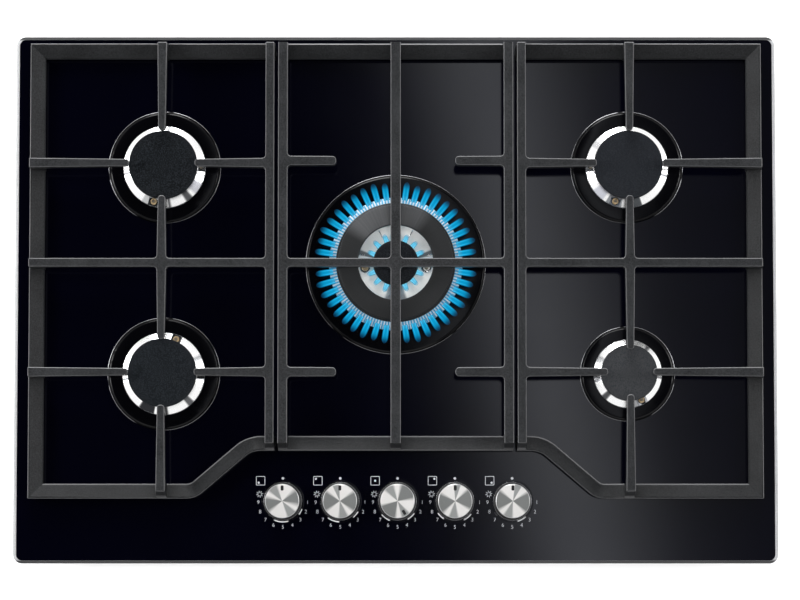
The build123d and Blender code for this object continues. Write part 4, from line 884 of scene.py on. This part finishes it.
@dataclass
class OuterBurners(Assembly):
    """The four outer burners: enamelled cap, polished crown and the rim of the gloss skirt, with painted
    reflections on the crowns and rims and painted shade on the caps.
    """

    edge_round_mm: float = 0.8
    dome_mm: float = 1.0
    flare_mm: float = 0.6
    skirt_width_mm: float = 14.75
    small_skirt_width_mm: float = 13.05

    # painted reflections on each polished crown, by angle
    CROWN_REFLECTIONS = {
        Burner.REAR_LEFT: (Band(7, 1.5, "#6a6a6c"), Band(102, 1.2, "#77777a"), Band(122, 7, "#c9c9d0", 4),
                           Band(142, 4, "#58595b", 3), Band(172, 1.2, "#707073"), Band(203, 10, "#c4c5c6"),
                           Band(260, 1.5, "#6a6a6c")),
        Burner.FRONT_LEFT: (Band(14, 10, "#c2c3c4"), Band(69, 5, "#a9aaac", 4), Band(97, 1.5, "#808284"),
                            Band(137, 4, "#616264", 2), Band(175, 1.4, "#555658"), Band(205, 11, "#303134"),
                            Band(262, 1.5, "#77787a")),
        Burner.REAR_RIGHT: (Band(103, 1.5, "#5c5d60"), Band(166, 7, "#505356"), Band(200, 11, "#8f9296"),
                            Band(226, 8, "#cfd1da", 3), Band(259, 1.5, "#808288"), Band(306, 4, "#dcdcde", 3),
                            Band(352, 1.5, "#808082")),
        Burner.FRONT_RIGHT: (Band(37, 2, "#77787a", 4), Band(97, 1.6, "#8a8b8d"), Band(152, 3, "#1b1b1c"),
                             Band(168, 7, "#9a9b9d"), Band(225, 4, "#505153", 3), Band(258, 2, "#8f9094"),
                             Band(296, 5, "#b9babc", 4)),
    }

    # one enamel painted a different shade per cap, for how light falls: darkest at the rear left, lightest at
    # the front right
    CAP_SHADES = {Burner.REAR_LEFT: "#07090b", Burner.FRONT_LEFT: "#0f1215", Burner.REAR_RIGHT: "#181a1e",
            Burner.FRONT_RIGHT: "#363739"}

    def cap(self, burner: Burner) -> None:
        """Enamelled cap: flat underneath with a drop-in rim, rounded edge, slightly domed top."""
        node = f"cap_{burner.value}"
        seat, rim = Round.of(node), Cap()
        edge = seat.radius + self.flare_mm
        corners = [(0.0, seat.high, 0.0), (seat.radius / 2, seat.high - self.dome_mm / 4, 4.0),
                   (edge, seat.high - self.dome_mm, self.edge_round_mm),
                   *rim.underside(edge, seat.radius - rim.inset_mm, seat.low), (0.0, seat.low, 0.0)]
        finish = MattEnamel(f"matt_enamel_{burner.value}", self.CAP_SHADES[burner], roughness=0.32, ior=1.2)
        piece(node + "_enamelled", Turned(corners, 144, 6).mesh(seat.x, seat.y), self.palette.keep(finish),
              node, node)

    def build(self) -> None:
        """Build the four burners."""
        low = in_mm(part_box("burner_skirts")[0].z)
        for burner in Burner:
            self.cap(burner)
            place = burner.value
            seat = Round.of(f"crown_{place}")
            finish = Radial(f"polished_crown_{place}", "#ffffff", metallic=1.0, roughness=0.2,
                            centre=seat.centre, bands=self.CROWN_REFLECTIONS[burner], streak=0.02)
            dress(self.nodes[f"crown_{place}"], self.palette.keep(finish))
            width = self.small_skirt_width_mm if burner is Burner.FRONT_RIGHT else self.skirt_width_mm
            bands = mirrored(SkirtRim.RIM_REFLECTIONS) if place.endswith("right") else SkirtRim.RIM_REFLECTIONS
            SkirtRim(self.palette).build(f"skirt_rim_{place}", seat, low, seat.radius + width, bands)


@dataclass
class FlameRing:
    """A ring of small gas flames, one at each port, leaning outwards; sizes in millimetres and degrees."""

    name: str
    finish: str
    count: int
    root: float
    length: float
    root_width: float
    width: float
    lean: float
    rounding: float = 0.3
    flatness: float = 0.7
    steps: int = 16
    sides: int = 20

    def half_width(self, along: float) -> float:
        """Half the width of a flame at a share of its length: a narrow root that swells, and a round tip."""
        swell = min(1.0, max(0.0, (along - 0.15) / 0.3))
        swell = swell * swell * (3.0 - 2.0 * swell)
        closing = max(0.0, (along - 1.0 + self.rounding) / self.rounding)
        return (self.root_width + (self.width - self.root_width) * swell) / 2 * math.sqrt(1.0 - closing**2)

    def flame(self) -> Mesh:
        """One flame along X from its port, with how far along and how far to the side each point is."""
        shape = bmesh.new()
        layer = shape.verts.layers.float.new(Flame.ALONG)
        verts = []
        for along in (n / self.steps for n in range(self.steps + 1)):
            verts.append(shape.verts.new((mm(self.length) * along, 0.0, mm(self.half_width(along)))))
            verts[-1][layer] = along
        for one, other in zip(verts, verts[1:]):
            shape.edges.new((one, other))
        bmesh.ops.spin(shape, geom=shape.verts[:] + shape.edges[:], cent=(0, 0, 0), axis=(1, 0, 0),
                       dvec=(0, 0, 0), angle=2 * math.pi, steps=self.sides, use_merge=True)
        bmesh.ops.remove_doubles(shape, verts=shape.verts[:], dist=SEAM)
        bmesh.ops.holes_fill(shape, edges=shape.edges[:], sides=0)
        across = shape.verts.layers.float.new(Flame.ACROSS)
        for vert in shape.verts:
            girth = math.hypot(vert.co.y, vert.co.z)
            vert[across] = abs(vert.co.y) / girth if girth > SEAM else 0.0
        bmesh.ops.recalc_face_normals(shape, faces=shape.faces[:])
        return shape

    def build(self, palette: Palette, seat: Round, height: float) -> None:
        """Set a flame at each port round the wok crown, none quite as long as the next."""
        flames = []
        for n in range(self.count):
            grown = 1.0 + 0.04 * math.sin(n * 2.3) + 0.03 * math.sin(n * 5.1)
            shape = self.flame()
            bmesh.ops.scale(shape, vec=(grown, 1.0, self.flatness), verts=shape.verts[:])
            rotate(shape, -self.lean, "Y")
            bmesh.ops.translate(shape, vec=(mm(self.root), 0.0, mm(height)), verts=shape.verts[:])
            rotate(shape, 90.0 - n * 360.0 / self.count, "Z")
            bmesh.ops.translate(shape, vec=(mm(seat.x), mm(seat.y), 0.0), verts=shape.verts[:])
            flames.append(shape)
        piece(self.name, join(flames), palette.get(self.finish), "wok_crown")


@dataclass
class WokBurner(Assembly):
    """The wok burner: two caps, the crown with its ring painted in the flames' light, the pale deck and the
    flames.
    """

    ring_inner_mm: float = 36.75
    step_mm: float = 2.2
    deck_drop_mm: float = 10.0
    deck_mm: float = 0.5
    skirt_width_mm: float = 22.7

    # painted reflections and painted shade on the skirt rim, by angle
    RIM = (Band(139, 1.5, "#101012"), Band(220, 4, "#101012"), Band(60, 8, "#7c7c80", 10),
           Band(300, 10, "#9a9aa0", 14))
    # painted sheen and painted shade on the satin outer cap, by angle
    CAP = (Band(16, 10, "#47484a", 14), Band(120, 30, "#232425", 30), Band(235, 25, "#232425", 20),
           Band(330, 16, "#515254", 14))
    # painted shade and painted highlights on the deck beside the ribs, and painted shade by the front boss
    DECK_SHADE_AND_HIGHLIGHTS = (Band(73, 3, "#6e7072", 2), Band(79, 1.5, "#fafafa", 1), Band(180, 16, "#a2a4a6", 3),
            Band(281, 1.5, "#fafafa", 1), Band(287, 3, "#6e7072", 2))
    FLAMES = (("wok_outer_cap", -0.6,
               FlameRing("wok_flames_outer", "burning_gas", 44, 62.0, 18.2, 6.0, 6.1, 4.0)),
              ("wok_inner_cap", 0.4,
               FlameRing("wok_flames_inner", "burning_gas_low", 16, 21.5, 9.0, 5.4, 4.6, 6.0, 0.45)))

    def outer_cap(self) -> None:
        """Ring-shaped cap in satin enamel, with a lower step round its outer edge."""
        node = "wok_outer_cap"
        seat, rim = Round.of(node), Cap()
        inner, high, edge = self.ring_inner_mm, seat.high, seat.radius
        step = edge - self.step_mm
        corners = [(inner, high - 1.0, 1.6), ((inner + step) / 2, high, 3.0), (step, high - 0.8, 0.9),
                   (step + 0.2, high - 2.6, 0.0), (edge, high - 2.8, 0.5),
                   *rim.underside(edge, edge - rim.inset_mm, seat.low),
                   (inner + 6.0, seat.low, 0.3), (inner, seat.low + rim.drop_mm, 0.5)]
        # the cap's bands are painted sheen and painted shade
        finish = Radial("satin_black_enamel", "#222324", roughness=0.36, ior=1.35, centre=seat.centre,
                        bands=self.CAP, streak=0.16, ring_mm=0.9, ring_depth_mm=0.012)
        piece(node + "_enamelled", Turned(corners, 180, 5).mesh(seat.x, seat.y), self.palette.keep(finish),
              node, node)

    def inner_cap(self) -> None:
        """Small middle cap in the same black as the outer burners' caps."""
        node = "wok_inner_cap"
        seat, rim = Round.of(node), Cap()
        corners = [(0.0, seat.high, 0.0), (seat.radius, seat.high - 1.0, 1.8),
                   *rim.underside(seat.radius, seat.radius - rim.inset_mm, seat.low), (0.0, seat.low, 0.0)]
        piece(node + "_enamelled", Turned(corners, 128, 5).mesh(seat.x, seat.y),
              self.palette.get("matt_black_enamel"), node, node)

    def block(self, seat: Round, angle: float, reach: float, size: Corner, low: float) -> Mesh:
        """Small box on the deck: size is along the radius, across it and high, in millimetres."""
        shape = cube((mm(size[1]), mm(size[0]), mm(size[2])))
        bmesh.ops.bevel(shape, geom=shape.edges[:], offset=mm(min(size) * 0.3), segments=2, profile=0.5,
                        affect="EDGES", material=-1)
        rotate(shape, -angle, "Z")
        at = clockwise(reach, angle) + Vector((seat.x, seat.y, low + size[2] / 2))
        bmesh.ops.translate(shape, vec=at / 1000.0, verts=shape.verts[:])
        return shape

    def deck(self, seat: Round, low: float) -> None:
        """Pale ring between the caps, its ribs, the igniter's and the probe's collars, painted shade in their
        wells, and the front boss.
        """

        def fitting(name: str, shape: Mesh, material: Material) -> None:
            """Add a piece that moves with the crown."""
            piece(name, shape, material, "wok_crown")

        def ring(at: Vector, corners: list[Corner], steps: int = 48, segments: int = 3) -> Mesh:
            """Turn a section about a point near the burner's axis."""
            return Turned(corners, steps, segments).mesh(seat.x + at.x, seat.y + at.y)

        finish = Radial("cast_deck", "#f1ece6", roughness=0.5, metallic=0.1, centre=seat.centre, streak=0.05,
                        bands=self.DECK_SHADE_AND_HIGHLIGHTS)
        fitting("wok_deck", ring(Vector(), flat_ring(20.5, 38.5, low, self.deck_mm, 0.1), 128, 2),
                self.palette.keep(finish))
        top = low + self.deck_mm
        bright = self.palette.get("bright_steel")
        ribs = [self.block(seat, angle, reach, size, top)
                for reach, size, side in ((32.6, (8.0, 0.9, 0.7), 27.0), (34.0, (4.5, 1.1, 0.9), 76.0))
                for angle in (-side, side)]
        fitting("wok_deck_ribs", join(ribs), bright)
        holes = [clockwise(30.5, angle) for angle in (98.0, 262.0)]
        boss = clockwise(42.5, 180.0)
        fitting("wok_deck_boss", ring(boss, flat_ring(0.0, 12.6, top, 0.9, 0.4), 64, 4),
                self.palette.get("die_cast_aluminium"))
        collars = [ring(at, flat_ring(3.9, 5.2, top, 1.2, 0.3)) for at in holes]
        collars.append(ring(boss, flat_ring(7.6, 8.8, top, 1.6, 0.4), 64))
        fitting("wok_deck_collars", join(collars), bright)
        # a dark flat ring inside each collar: painted shade for the well round the igniter and the probe
        fitting("wok_deck_well_shade", join(ring(at, flat_ring(3.2, 3.9, top, 0.2)) for at in holes),
                self.palette.get("painted_recess_shade"))

    def build(self) -> None:
        """Build the whole wok burner."""
        seat = Round.of("wok_crown")
        self.outer_cap()
        self.inner_cap()
        # the crown's white and its cyan teeth are painted light from the flames
        finish = Radial("lit_wok_crown", "#f6fbff", roughness=0.6, centre=seat.centre, teeth=264,
                        painted_tooth_light="#58bfe8", streak=0.15)
        dress(self.nodes["wok_crown"], self.palette.keep(finish))
        self.deck(seat, seat.high - self.deck_drop_mm)
        low = in_mm(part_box("wok_skirt")[0].z)
        SkirtRim(self.palette).build("skirt_rim_wok", seat, low, seat.radius + self.skirt_width_mm, self.RIM)
        for cap, rise, flames in self.FLAMES:
            flames.build(self.palette, seat, Round.of(cap).low + rise)


@dataclass
class Knobs(Assembly):
    """Five knobs: spun face with painted reflections, bright edge, black foot with a bright rim, pointer, and
    a ring on the glass with painted highlights.
    """

    face_mm: float = 16.2
    foot_mm: float = 2.2
    wall_mm: float = 1.6
    top_mm: float = 2.0
    pointer_mm: tuple[float, float, float] = (2.8, 5.0, 0.5)
    pointer_proud_mm: float = 0.001
    pointer_reach_mm: float = 12.7
    lit_knob: int = 3
    lit_turn: float = 150.0
    bezel_gap_mm: float = 1.9
    bezel_mm: float = 1.2

    # painted reflections on each spun face: darker wedges by angle
    FACE_REFLECTIONS = {1: (Band(76, 18, "#757776", 20), Band(144, 13, "#919392", 8), Band(258, 19, "#757776", 15),
                  Band(324, 13, "#8f9190", 9)),
              2: (Band(91, 29, "#757776", 14), Band(167, 12, "#919392", 9), Band(270, 30, "#757776", 13),
                  Band(346, 10, "#8f9190", 4)),
              3: (Band(47, 28, "#757776", 14), Band(150, 11, "#8c8e8d", 8), Band(221, 29, "#757776", 11),
                  Band(328, 13, "#919392", 10))}
    FACE_REFLECTIONS |= dict.fromkeys((4, 5), mirrored(FACE_REFLECTIONS[2]))
    # how far each face's painted reflections are turned
    TURNED = {1: 0.0, 2: 0.0, 3: 0.0, 4: -7.0, 5: 5.0}
    # painted highlight crescents on the ring round each knob; the fifth has one painted dark stretch
    BEZEL_HIGHLIGHTS = {1: (Band(121, 7, "#f0f0f0", 2), Band(185, 18, "#e4e4e6", 4)),
                 2: (Band(131, 9, "#f0f0f0", 2), Band(200, 15, "#ececee", 3)),
                 3: (Band(138, 11, "#f0f0f0", 2), Band(216, 12, "#ececee", 3)),
                 4: (Band(141, 11, "#e4e4e6", 3), Band(224, 10, "#ececee", 2)),
                 5: (Band(152, 11, "#d8d8da", 3), Band(232, 4, "#3c3c3e", 3))}

    def sections(self, seat: Round) -> dict[str, list[Corner]]:
        """Sections of a knob's turned parts."""
        face, high, low, radius = self.face_mm, seat.high, seat.low, seat.radius
        foot, wall = low + self.foot_mm, self.face_mm - self.wall_mm
        return {
            "cap": [(0.0, high, 0.0), (face, high, 0.15), (face, foot + 0.6, 0.2), (face - 0.6, foot, 0.0),
                    (wall, foot, 0.0), (wall, high - self.top_mm, 0.0), (0.0, high - self.top_mm, 0.0)],
            "edge": [(face - 0.1, high - 0.9, 0.0), (face + 0.5, high - 0.9, 0.1),
                     (face + 0.5, high - 0.55, 0.1), (face - 0.1, high - 0.15, 0.1)],
            "foot": [(8.0, low, 0.0), (radius - 0.5, low, 0.2), (radius - 0.5, foot - 0.5, 0.3),
                     (face - 0.4, foot + 0.3, 0.0), (8.0, foot + 0.3, 0.0)],
            "rim": [(radius - 0.7, low + 0.2, 0.0), (radius, low + 0.2, 0.1), (radius, foot - 0.3, 0.25),
                    (radius - 0.7, foot - 0.3, 0.15)],
        }

    def pointer(self, number: int, seat: Round) -> Mesh:
        """Black pointer inlay near the edge of the face; the lit burner's has its own angle."""
        shape = cube(tuple(mm(side) for side in self.pointer_mm))
        upright = [e for e in shape.edges if abs(e.verts[0].co.z - e.verts[1].co.z) > SEAM]
        bmesh.ops.bevel(shape, geom=upright, offset=mm(0.8), segments=4, profile=0.5, affect="EDGES",
                        material=-1)
        height = seat.high - self.pointer_mm[2] / 2 + self.pointer_proud_mm
        bmesh.ops.translate(shape, vec=(0, mm(self.pointer_reach_mm), mm(height)), verts=shape.verts[:])
        rotate(shape, -self.lit_turn if number == self.lit_knob else 0.0, "Z")
        bmesh.ops.translate(shape, vec=(mm(seat.x), mm(seat.y), 0.0), verts=shape.verts[:])
        return shape

    def build(self) -> None:
        """Build the five knobs and their rings."""
        plain = {"edge": "polished_edge", "foot": "black_polymer", "rim": "dark_chrome",
                 "pointer": "black_polymer"}
        glass = in_mm(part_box("glass_top")[1].z)
        for number in KNOBS:
            body = f"knob_{number}"
            seat = Round.of(body)
            shapes = {part: Turned(corners).mesh(seat.x, seat.y)
                      for part, corners in self.sections(seat).items()}
            shapes["pointer"] = self.pointer(number, seat)
            face = Radial(f"spun_face_{number}", "#dcdad8", metallic=0.35, roughness=0.34, centre=seat.centre,
                          turn=self.TURNED[number], bands=self.FACE_REFLECTIONS[number], ring_mm=0.3, streak=0.07)
            for part, shape in shapes.items():
                finish = self.palette.get(plain[part]) if part in plain else self.palette.keep(face)
                piece(f"{body}_{part}", shape, finish, body, None if part in plain else body)
            outer = seat.radius + self.bezel_gap_mm
            ring = Turned(flat_ring(outer - self.bezel_mm, outer, glass, 0.3, 0.1)).mesh(seat.x, seat.y)
            # a glass-black ring that carries the painted highlight crescents
            shine = Radial(f"knob_bezel_{number}_painted_shine", "#020209", roughness=0.1, centre=seat.centre,
                           bands=self.BEZEL_HIGHLIGHTS[number], streak=0.0)
            piece(f"knob_bezel_{number}", ring, self.palette.keep(shine), "root")


@dataclass
class DialPrints:
    """White printing on the glass round each knob: off dot, digits, spark sign and burner sign."""

    palette: Palette
    digit_mm: float = 5.2
    digit_thinned_mm: float = 0.03
    digit_reach_mm: float = 24.2
    digit_step: float = 22.5
    dot_mm: float = 1.3
    dot_reach_mm: float = 23.5
    sign_mm: float = 9.0
    sign_corner_mm: float = 0.8
    sign_line_mm: float = 0.6
    sign_dot_mm: float = 1.1
    sign_dot_reach_mm: float = 1.9
    sign_place_mm: tuple[float, float] = (-22.0, 21.2)
    spark_mm: tuple[float, float] = (3.9, 1.7)
    spark_line_mm: float = 0.34
    spark_angle: float = 289.5
    drop_mm: float = 1.1
    lift_mm: float = 0.04

    BURNER_DOTS = {1: (-1, -1), 2: (-1, 1), 3: (0, 0), 4: (1, 1), 5: (1, -1)}

    def outline(self, points: list[tuple[float, float]], line: float) -> Mesh:
        """Flat band inside a closed run of points, in millimetres."""
        shape = bmesh.new()
        face = shape.faces.new([shape.verts.new((mm(x), mm(y), 0.0)) for x, y in points])
        shape.normal_update()
        bmesh.ops.inset_region(shape, faces=[face], thickness=mm(line), use_boundary=True,
                               use_even_offset=True)
        bmesh.ops.delete(shape, geom=[face], context="FACES")
        return shape

    def disc(self, radius: float) -> Mesh:
        """Flat disc of a radius in millimetres."""
        shape = bmesh.new()
        bmesh.ops.create_circle(shape, cap_ends=True, radius=mm(radius), segments=32)
        return shape

    def burner_sign(self, number: int) -> Mesh:
        """Rounded square with a dot where the knob's burner lies."""
        corner, middle = self.sign_corner_mm, self.sign_mm / 2 - self.sign_corner_mm
        points = []
        for turn in (0.0, 90.0, 180.0, 270.0):
            c, s = math.cos(math.radians(turn)), math.sin(math.radians(turn))
            for step in range(5):
                angle = math.radians(turn + 22.5 * step)
                points.append((middle * (c - s) + corner * math.cos(angle),
                               middle * (s + c) + corner * math.sin(angle)))
        dot = self.disc(self.sign_dot_mm)
        reach = mm(self.sign_dot_reach_mm)
        across, back = self.BURNER_DOTS[number]
        bmesh.ops.translate(dot, vec=(reach * across, reach * back, 0.0), verts=dot.verts[:])
        return join([self.outline(points, self.sign_line_mm), dot])

    def spark_sign(self) -> Mesh:
        """Outline of a spark with eight points."""
        points = [clockwise(self.spark_mm[n % 2], 78.75 - 22.5 * n).xy for n in range(16)]
        return self.outline(points, self.spark_line_mm)

    def digit(self, value: int) -> Mesh:
        """One digit as a flat mesh, centred on its own middle."""
        text = bpy.data.curves.new("digit", "FONT")
        text.body = str(value)
        text.size = mm(self.digit_mm)
        text.offset = -mm(self.digit_thinned_mm)
        text.align_x, text.align_y = "CENTER", "CENTER"
        holder = bpy.data.objects.new("digit", text)
        bpy.context.scene.collection.objects.link(holder)
        flat = bpy.data.meshes.new_from_object(holder)
        shape = bmesh.new()
        shape.from_mesh(flat)
        bpy.data.objects.remove(holder)
        bpy.data.curves.remove(text)
        bpy.data.meshes.remove(flat)
        return shape

    def dial(self, number: int, seat: Round, height: float) -> Mesh:
        """All the printing round one knob, in place."""
        marks = [(self.disc(self.dot_mm), clockwise(self.dot_reach_mm, 0.0))]
        for value in range(1, 10):
            angle = 90.0 + self.digit_step * (value - 1)
            marks.append((self.digit(value), clockwise(self.digit_reach_mm, angle)))
        marks.append((self.spark_sign(), clockwise(self.digit_reach_mm, self.spark_angle)))
        marks.append((self.burner_sign(number), Vector((*self.sign_place_mm, 0.0))))
        for shape, at in marks:
            place = at + Vector((seat.x, seat.y - self.drop_mm, height))
            bmesh.ops.translate(shape, vec=place / 1000.0, verts=shape.verts[:])
        return join(shape for shape, _ in marks)

    def build(self) -> None:
        """Print the five dials on the glass."""
        height = in_mm(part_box("glass_top")[1].z) + self.lift_mm
        for number in KNOBS:
            shape = self.dial(number, Round.of(f"knob_{number}"), height)
            for face in shape.faces:
                if face.normal.z < 0:
                    face.normal_flip()
            piece(f"dial_print_{number}", shape, self.palette.get("dial_print"), "root")


# ------------------------------------------------------------------ the studio


@dataclass(frozen=True)
class Lamp:
    """A square soft lamp that faces the middle of the glass: place and side in metres, power in watts."""

    name: str
    place: tuple[float, float, float]
    size: float
    power: float
    mirrored_by_metal: bool = True

    def hang(self) -> None:
        """Hang the lamp; one that metal doesn't mirror only lights matt surfaces."""
        data = bpy.data.lights.new(self.name, "AREA")
        data.size = self.size
        data.energy = self.power
        made = bpy.data.objects.new(self.name, data)
        bpy.context.scene.collection.objects.link(made)
        made.location = self.place
        made.rotation_euler = (made.location - Vector((0, 0, 0.05))).to_track_quat("Z", "Y").to_euler()
        made.visible_glossy = self.mirrored_by_metal


@dataclass
class Studio:
    """Pale floor, soft lamps, a pale surround and the camera over the front edge; in metres unless in mm."""

    look_mm: tuple[float, float] = (4.2, -1.1)
    distance: float = 3.3
    tilt: float = 4.0
    view_width_mm: float = 788.0
    floor_size: float = 9.0
    floor_drop_mm: float = 0.2
    floor_fades: tuple[float, float] = (0.7, 2.2)
    near_level: float = 0.52
    soft_level: float = 0.3
    panel_size: tuple[float, float] = (1.1, 1.6)
    panel_place: tuple[float, float, float] = (0.0, 0.35, 2.5)
    panel_level: float = 1.4
    band_slant: float = 0.195
    band_from: float = -0.092
    band_width: float = 1.034

    LAMPS = (Lamp("lamp_left", (-2.2, 0.3, 1.9), 1.3, 44.0), Lamp("lamp_right", (2.2, 0.3, 1.9), 1.3, 30.0),
             Lamp("lamp_rear", (-0.3, 2.6, 1.9), 1.6, 72.0),
             Lamp("lamp_top", (0.0, -0.3, 3.8), 1.2, 40.0, mirrored_by_metal=False))
    BAND = ((0.0, 0.0), (0.127, 0.03), (0.184, 0.12), (0.218, 0.26), (0.284, 0.66), (0.33, 0.9), (0.36, 0.93),
            (0.416, 0.62), (0.458, 0.42), (0.495, 0.25), (0.53, 0.16), (0.6, 0.1), (0.75, 0.05), (1.0, 0.03))
    COOL = (0.94, 0.97, 1.04)
    CEILING = ((0.0, "#ffffff"), (0.68, "#ffffff"), (0.9, "#141519"), (0.94, "#05060c"))

    def camera(self) -> None:
        """Stand the camera over the front edge, looking down at the middle of the glass."""
        x, y = self.look_mm
        target = Vector((mm(x), mm(y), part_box("glass_top")[1].z))
        tilt = math.radians(self.tilt)
        lens = bpy.data.cameras.new("camera")
        lens.sensor_width = 36.0
        lens.lens = lens.sensor_width * self.distance / mm(self.view_width_mm)
        lens.clip_start = 0.05
        lens.clip_end = 50.0
        made = bpy.data.objects.new("camera", lens)
        bpy.context.scene.collection.objects.link(made)
        made.location = target + Vector((0.0, -math.sin(tilt), math.cos(tilt))) * self.distance
        made.rotation_euler = (tilt, 0.0, 0.0)
        bpy.context.scene.camera = made

    def floor(self) -> None:
        """Lay a pale floor under the casing, which the camera and mirrors see brighter further out."""
        shape = bmesh.new()
        bmesh.ops.create_grid(shape, x_segments=1, y_segments=1, size=self.floor_size)
        material, tree = new_material("pale_floor")
        shader = tree.nodes["Principled BSDF"]
        feed(tree, shader, {"Base Color": linear("#f0f0f0"), "Roughness": 0.9, "Specular IOR Level": 0.0})
        seen = add_node(tree, "LightPath").outputs
        lift = add_node(tree, "Math", {0: seen["Is Camera Ray"], 1: seen["Is Glossy Ray"]},
                        operation="MAXIMUM")
        far = add_node(tree, "VectorMath", {0: add_node(tree, "NewGeometry").outputs["Position"]},
                       operation="LENGTH").outputs["Value"]
        level = add_node(tree, "MapRange", {"Value": far, "From Min": self.floor_fades[0],
                                            "From Max": self.floor_fades[1], "To Min": self.near_level})
        glow = add_node(tree, "Emission", {"Color": WHITE, "Strength": level})
        dark = add_node(tree, "Emission", {"Color": BLACK, "Strength": 0.0})
        pick = add_node(tree, "MixShader", {0: lift, 1: dark, 2: glow})
        total = add_node(tree, "AddShader", {0: shader, 1: pick})
        feed(tree, tree.nodes["Material Output"], {"Surface": total})
        floor = new_object("floor", shape, material)
        floor.location.z = -mm(self.floor_drop_mm)

    def surround(self) -> None:
        """Light the scene from a pale surround that is dark overhead, as under a black ceiling."""
        world = bpy.data.worlds.new("studio")
        bpy.context.scene.world = world
        world.use_nodes = True
        tree = world.node_tree
        tree.nodes.clear()
        axes = add_node(tree, "SeparateXYZ", {"Vector": add_node(tree, "TexCoord").outputs["Generated"]})
        overhead = add_node(tree, "ValToRGB", {"Fac": axes.outputs["Z"]},
                            stops=[(place, linear(code)) for place, code in self.CEILING])
        seen = add_node(tree, "LightPath").outputs
        mirror = add_node(tree, "Math", {0: seen["Is Glossy Ray"], 1: seen["Is Transmission Ray"]},
                          operation="MAXIMUM")
        soft, shown, glossy = (
            add_node(tree, "Background", {"Color": colour, "Strength": strength})
            for colour, strength in ((WHITE, self.soft_level), (WHITE, 1.0), (overhead, 1.0)))
        unseen = add_node(tree, "MixShader", {0: mirror, 1: soft, 2: glossy})
        whole = add_node(tree, "MixShader", {0: seen["Is Camera Ray"], 1: unseen, 2: shown})
        add_node(tree, "OutputWorld", {"Surface": whole})

    def reflector(self) -> None:
        """Hang a faint panel over the glass, whose soft band the glass mirrors right of the middle."""
        shape = bmesh.new()
        bmesh.ops.create_grid(shape, x_segments=1, y_segments=1, size=1.0)
        bmesh.ops.scale(shape, vec=(*self.panel_size, 1.0), verts=shape.verts[:])
        bmesh.ops.reverse_faces(shape, faces=shape.faces[:])
        material, tree = new_material("faint_panel")
        tree.nodes.remove(tree.nodes["Principled BSDF"])
        place = add_node(tree, "NewGeometry").outputs["Position"]
        axes = add_node(tree, "SeparateXYZ", {"Vector": place}).outputs
        across = add_node(tree, "Math", {0: axes["Y"], 1: self.band_slant, 2: axes["X"]},
                          operation="MULTIPLY_ADD")
        share = add_node(tree, "MapRange", {"Value": across, "From Min": self.band_from,
                                            "From Max": self.band_from + self.band_width})
        band = add_node(tree, "ValToRGB", {"Fac": share},
                        stops=[(at, (*(tone * level for tone in self.COOL), 1.0)) for at, level in self.BAND])
        glow = add_node(tree, "Emission", {"Color": band, "Strength": self.panel_level})
        feed(tree, tree.nodes["Material Output"], {"Surface": glow})
        panel = new_object("reflector", shape, material)
        panel.location = self.panel_place
        panel.visible_camera = panel.visible_diffuse = panel.visible_shadow = False

    def build(self) -> None:
        """Set up the whole studio."""
        bpy.context.scene.view_settings.view_transform = "Standard"
        self.camera()
        self.floor()
        self.surround()
        self.reflector()
        for lamp in self.LAMPS:
            lamp.hang()


def main() -> None:
    """Load the frame, build every sub-assembly and set up the studio."""
    logging.basicConfig(level=logging.INFO, format="%(message)s")
    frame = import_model()
    palette = Palette()
    for kind in (PackedPieces, SideGrates, OuterBurners, WokBurner, Knobs):
        kind(frame["nodes"], palette).build()
    DialPrints(palette).build()
    Studio().build()


if __name__ == "__main__":
    main()
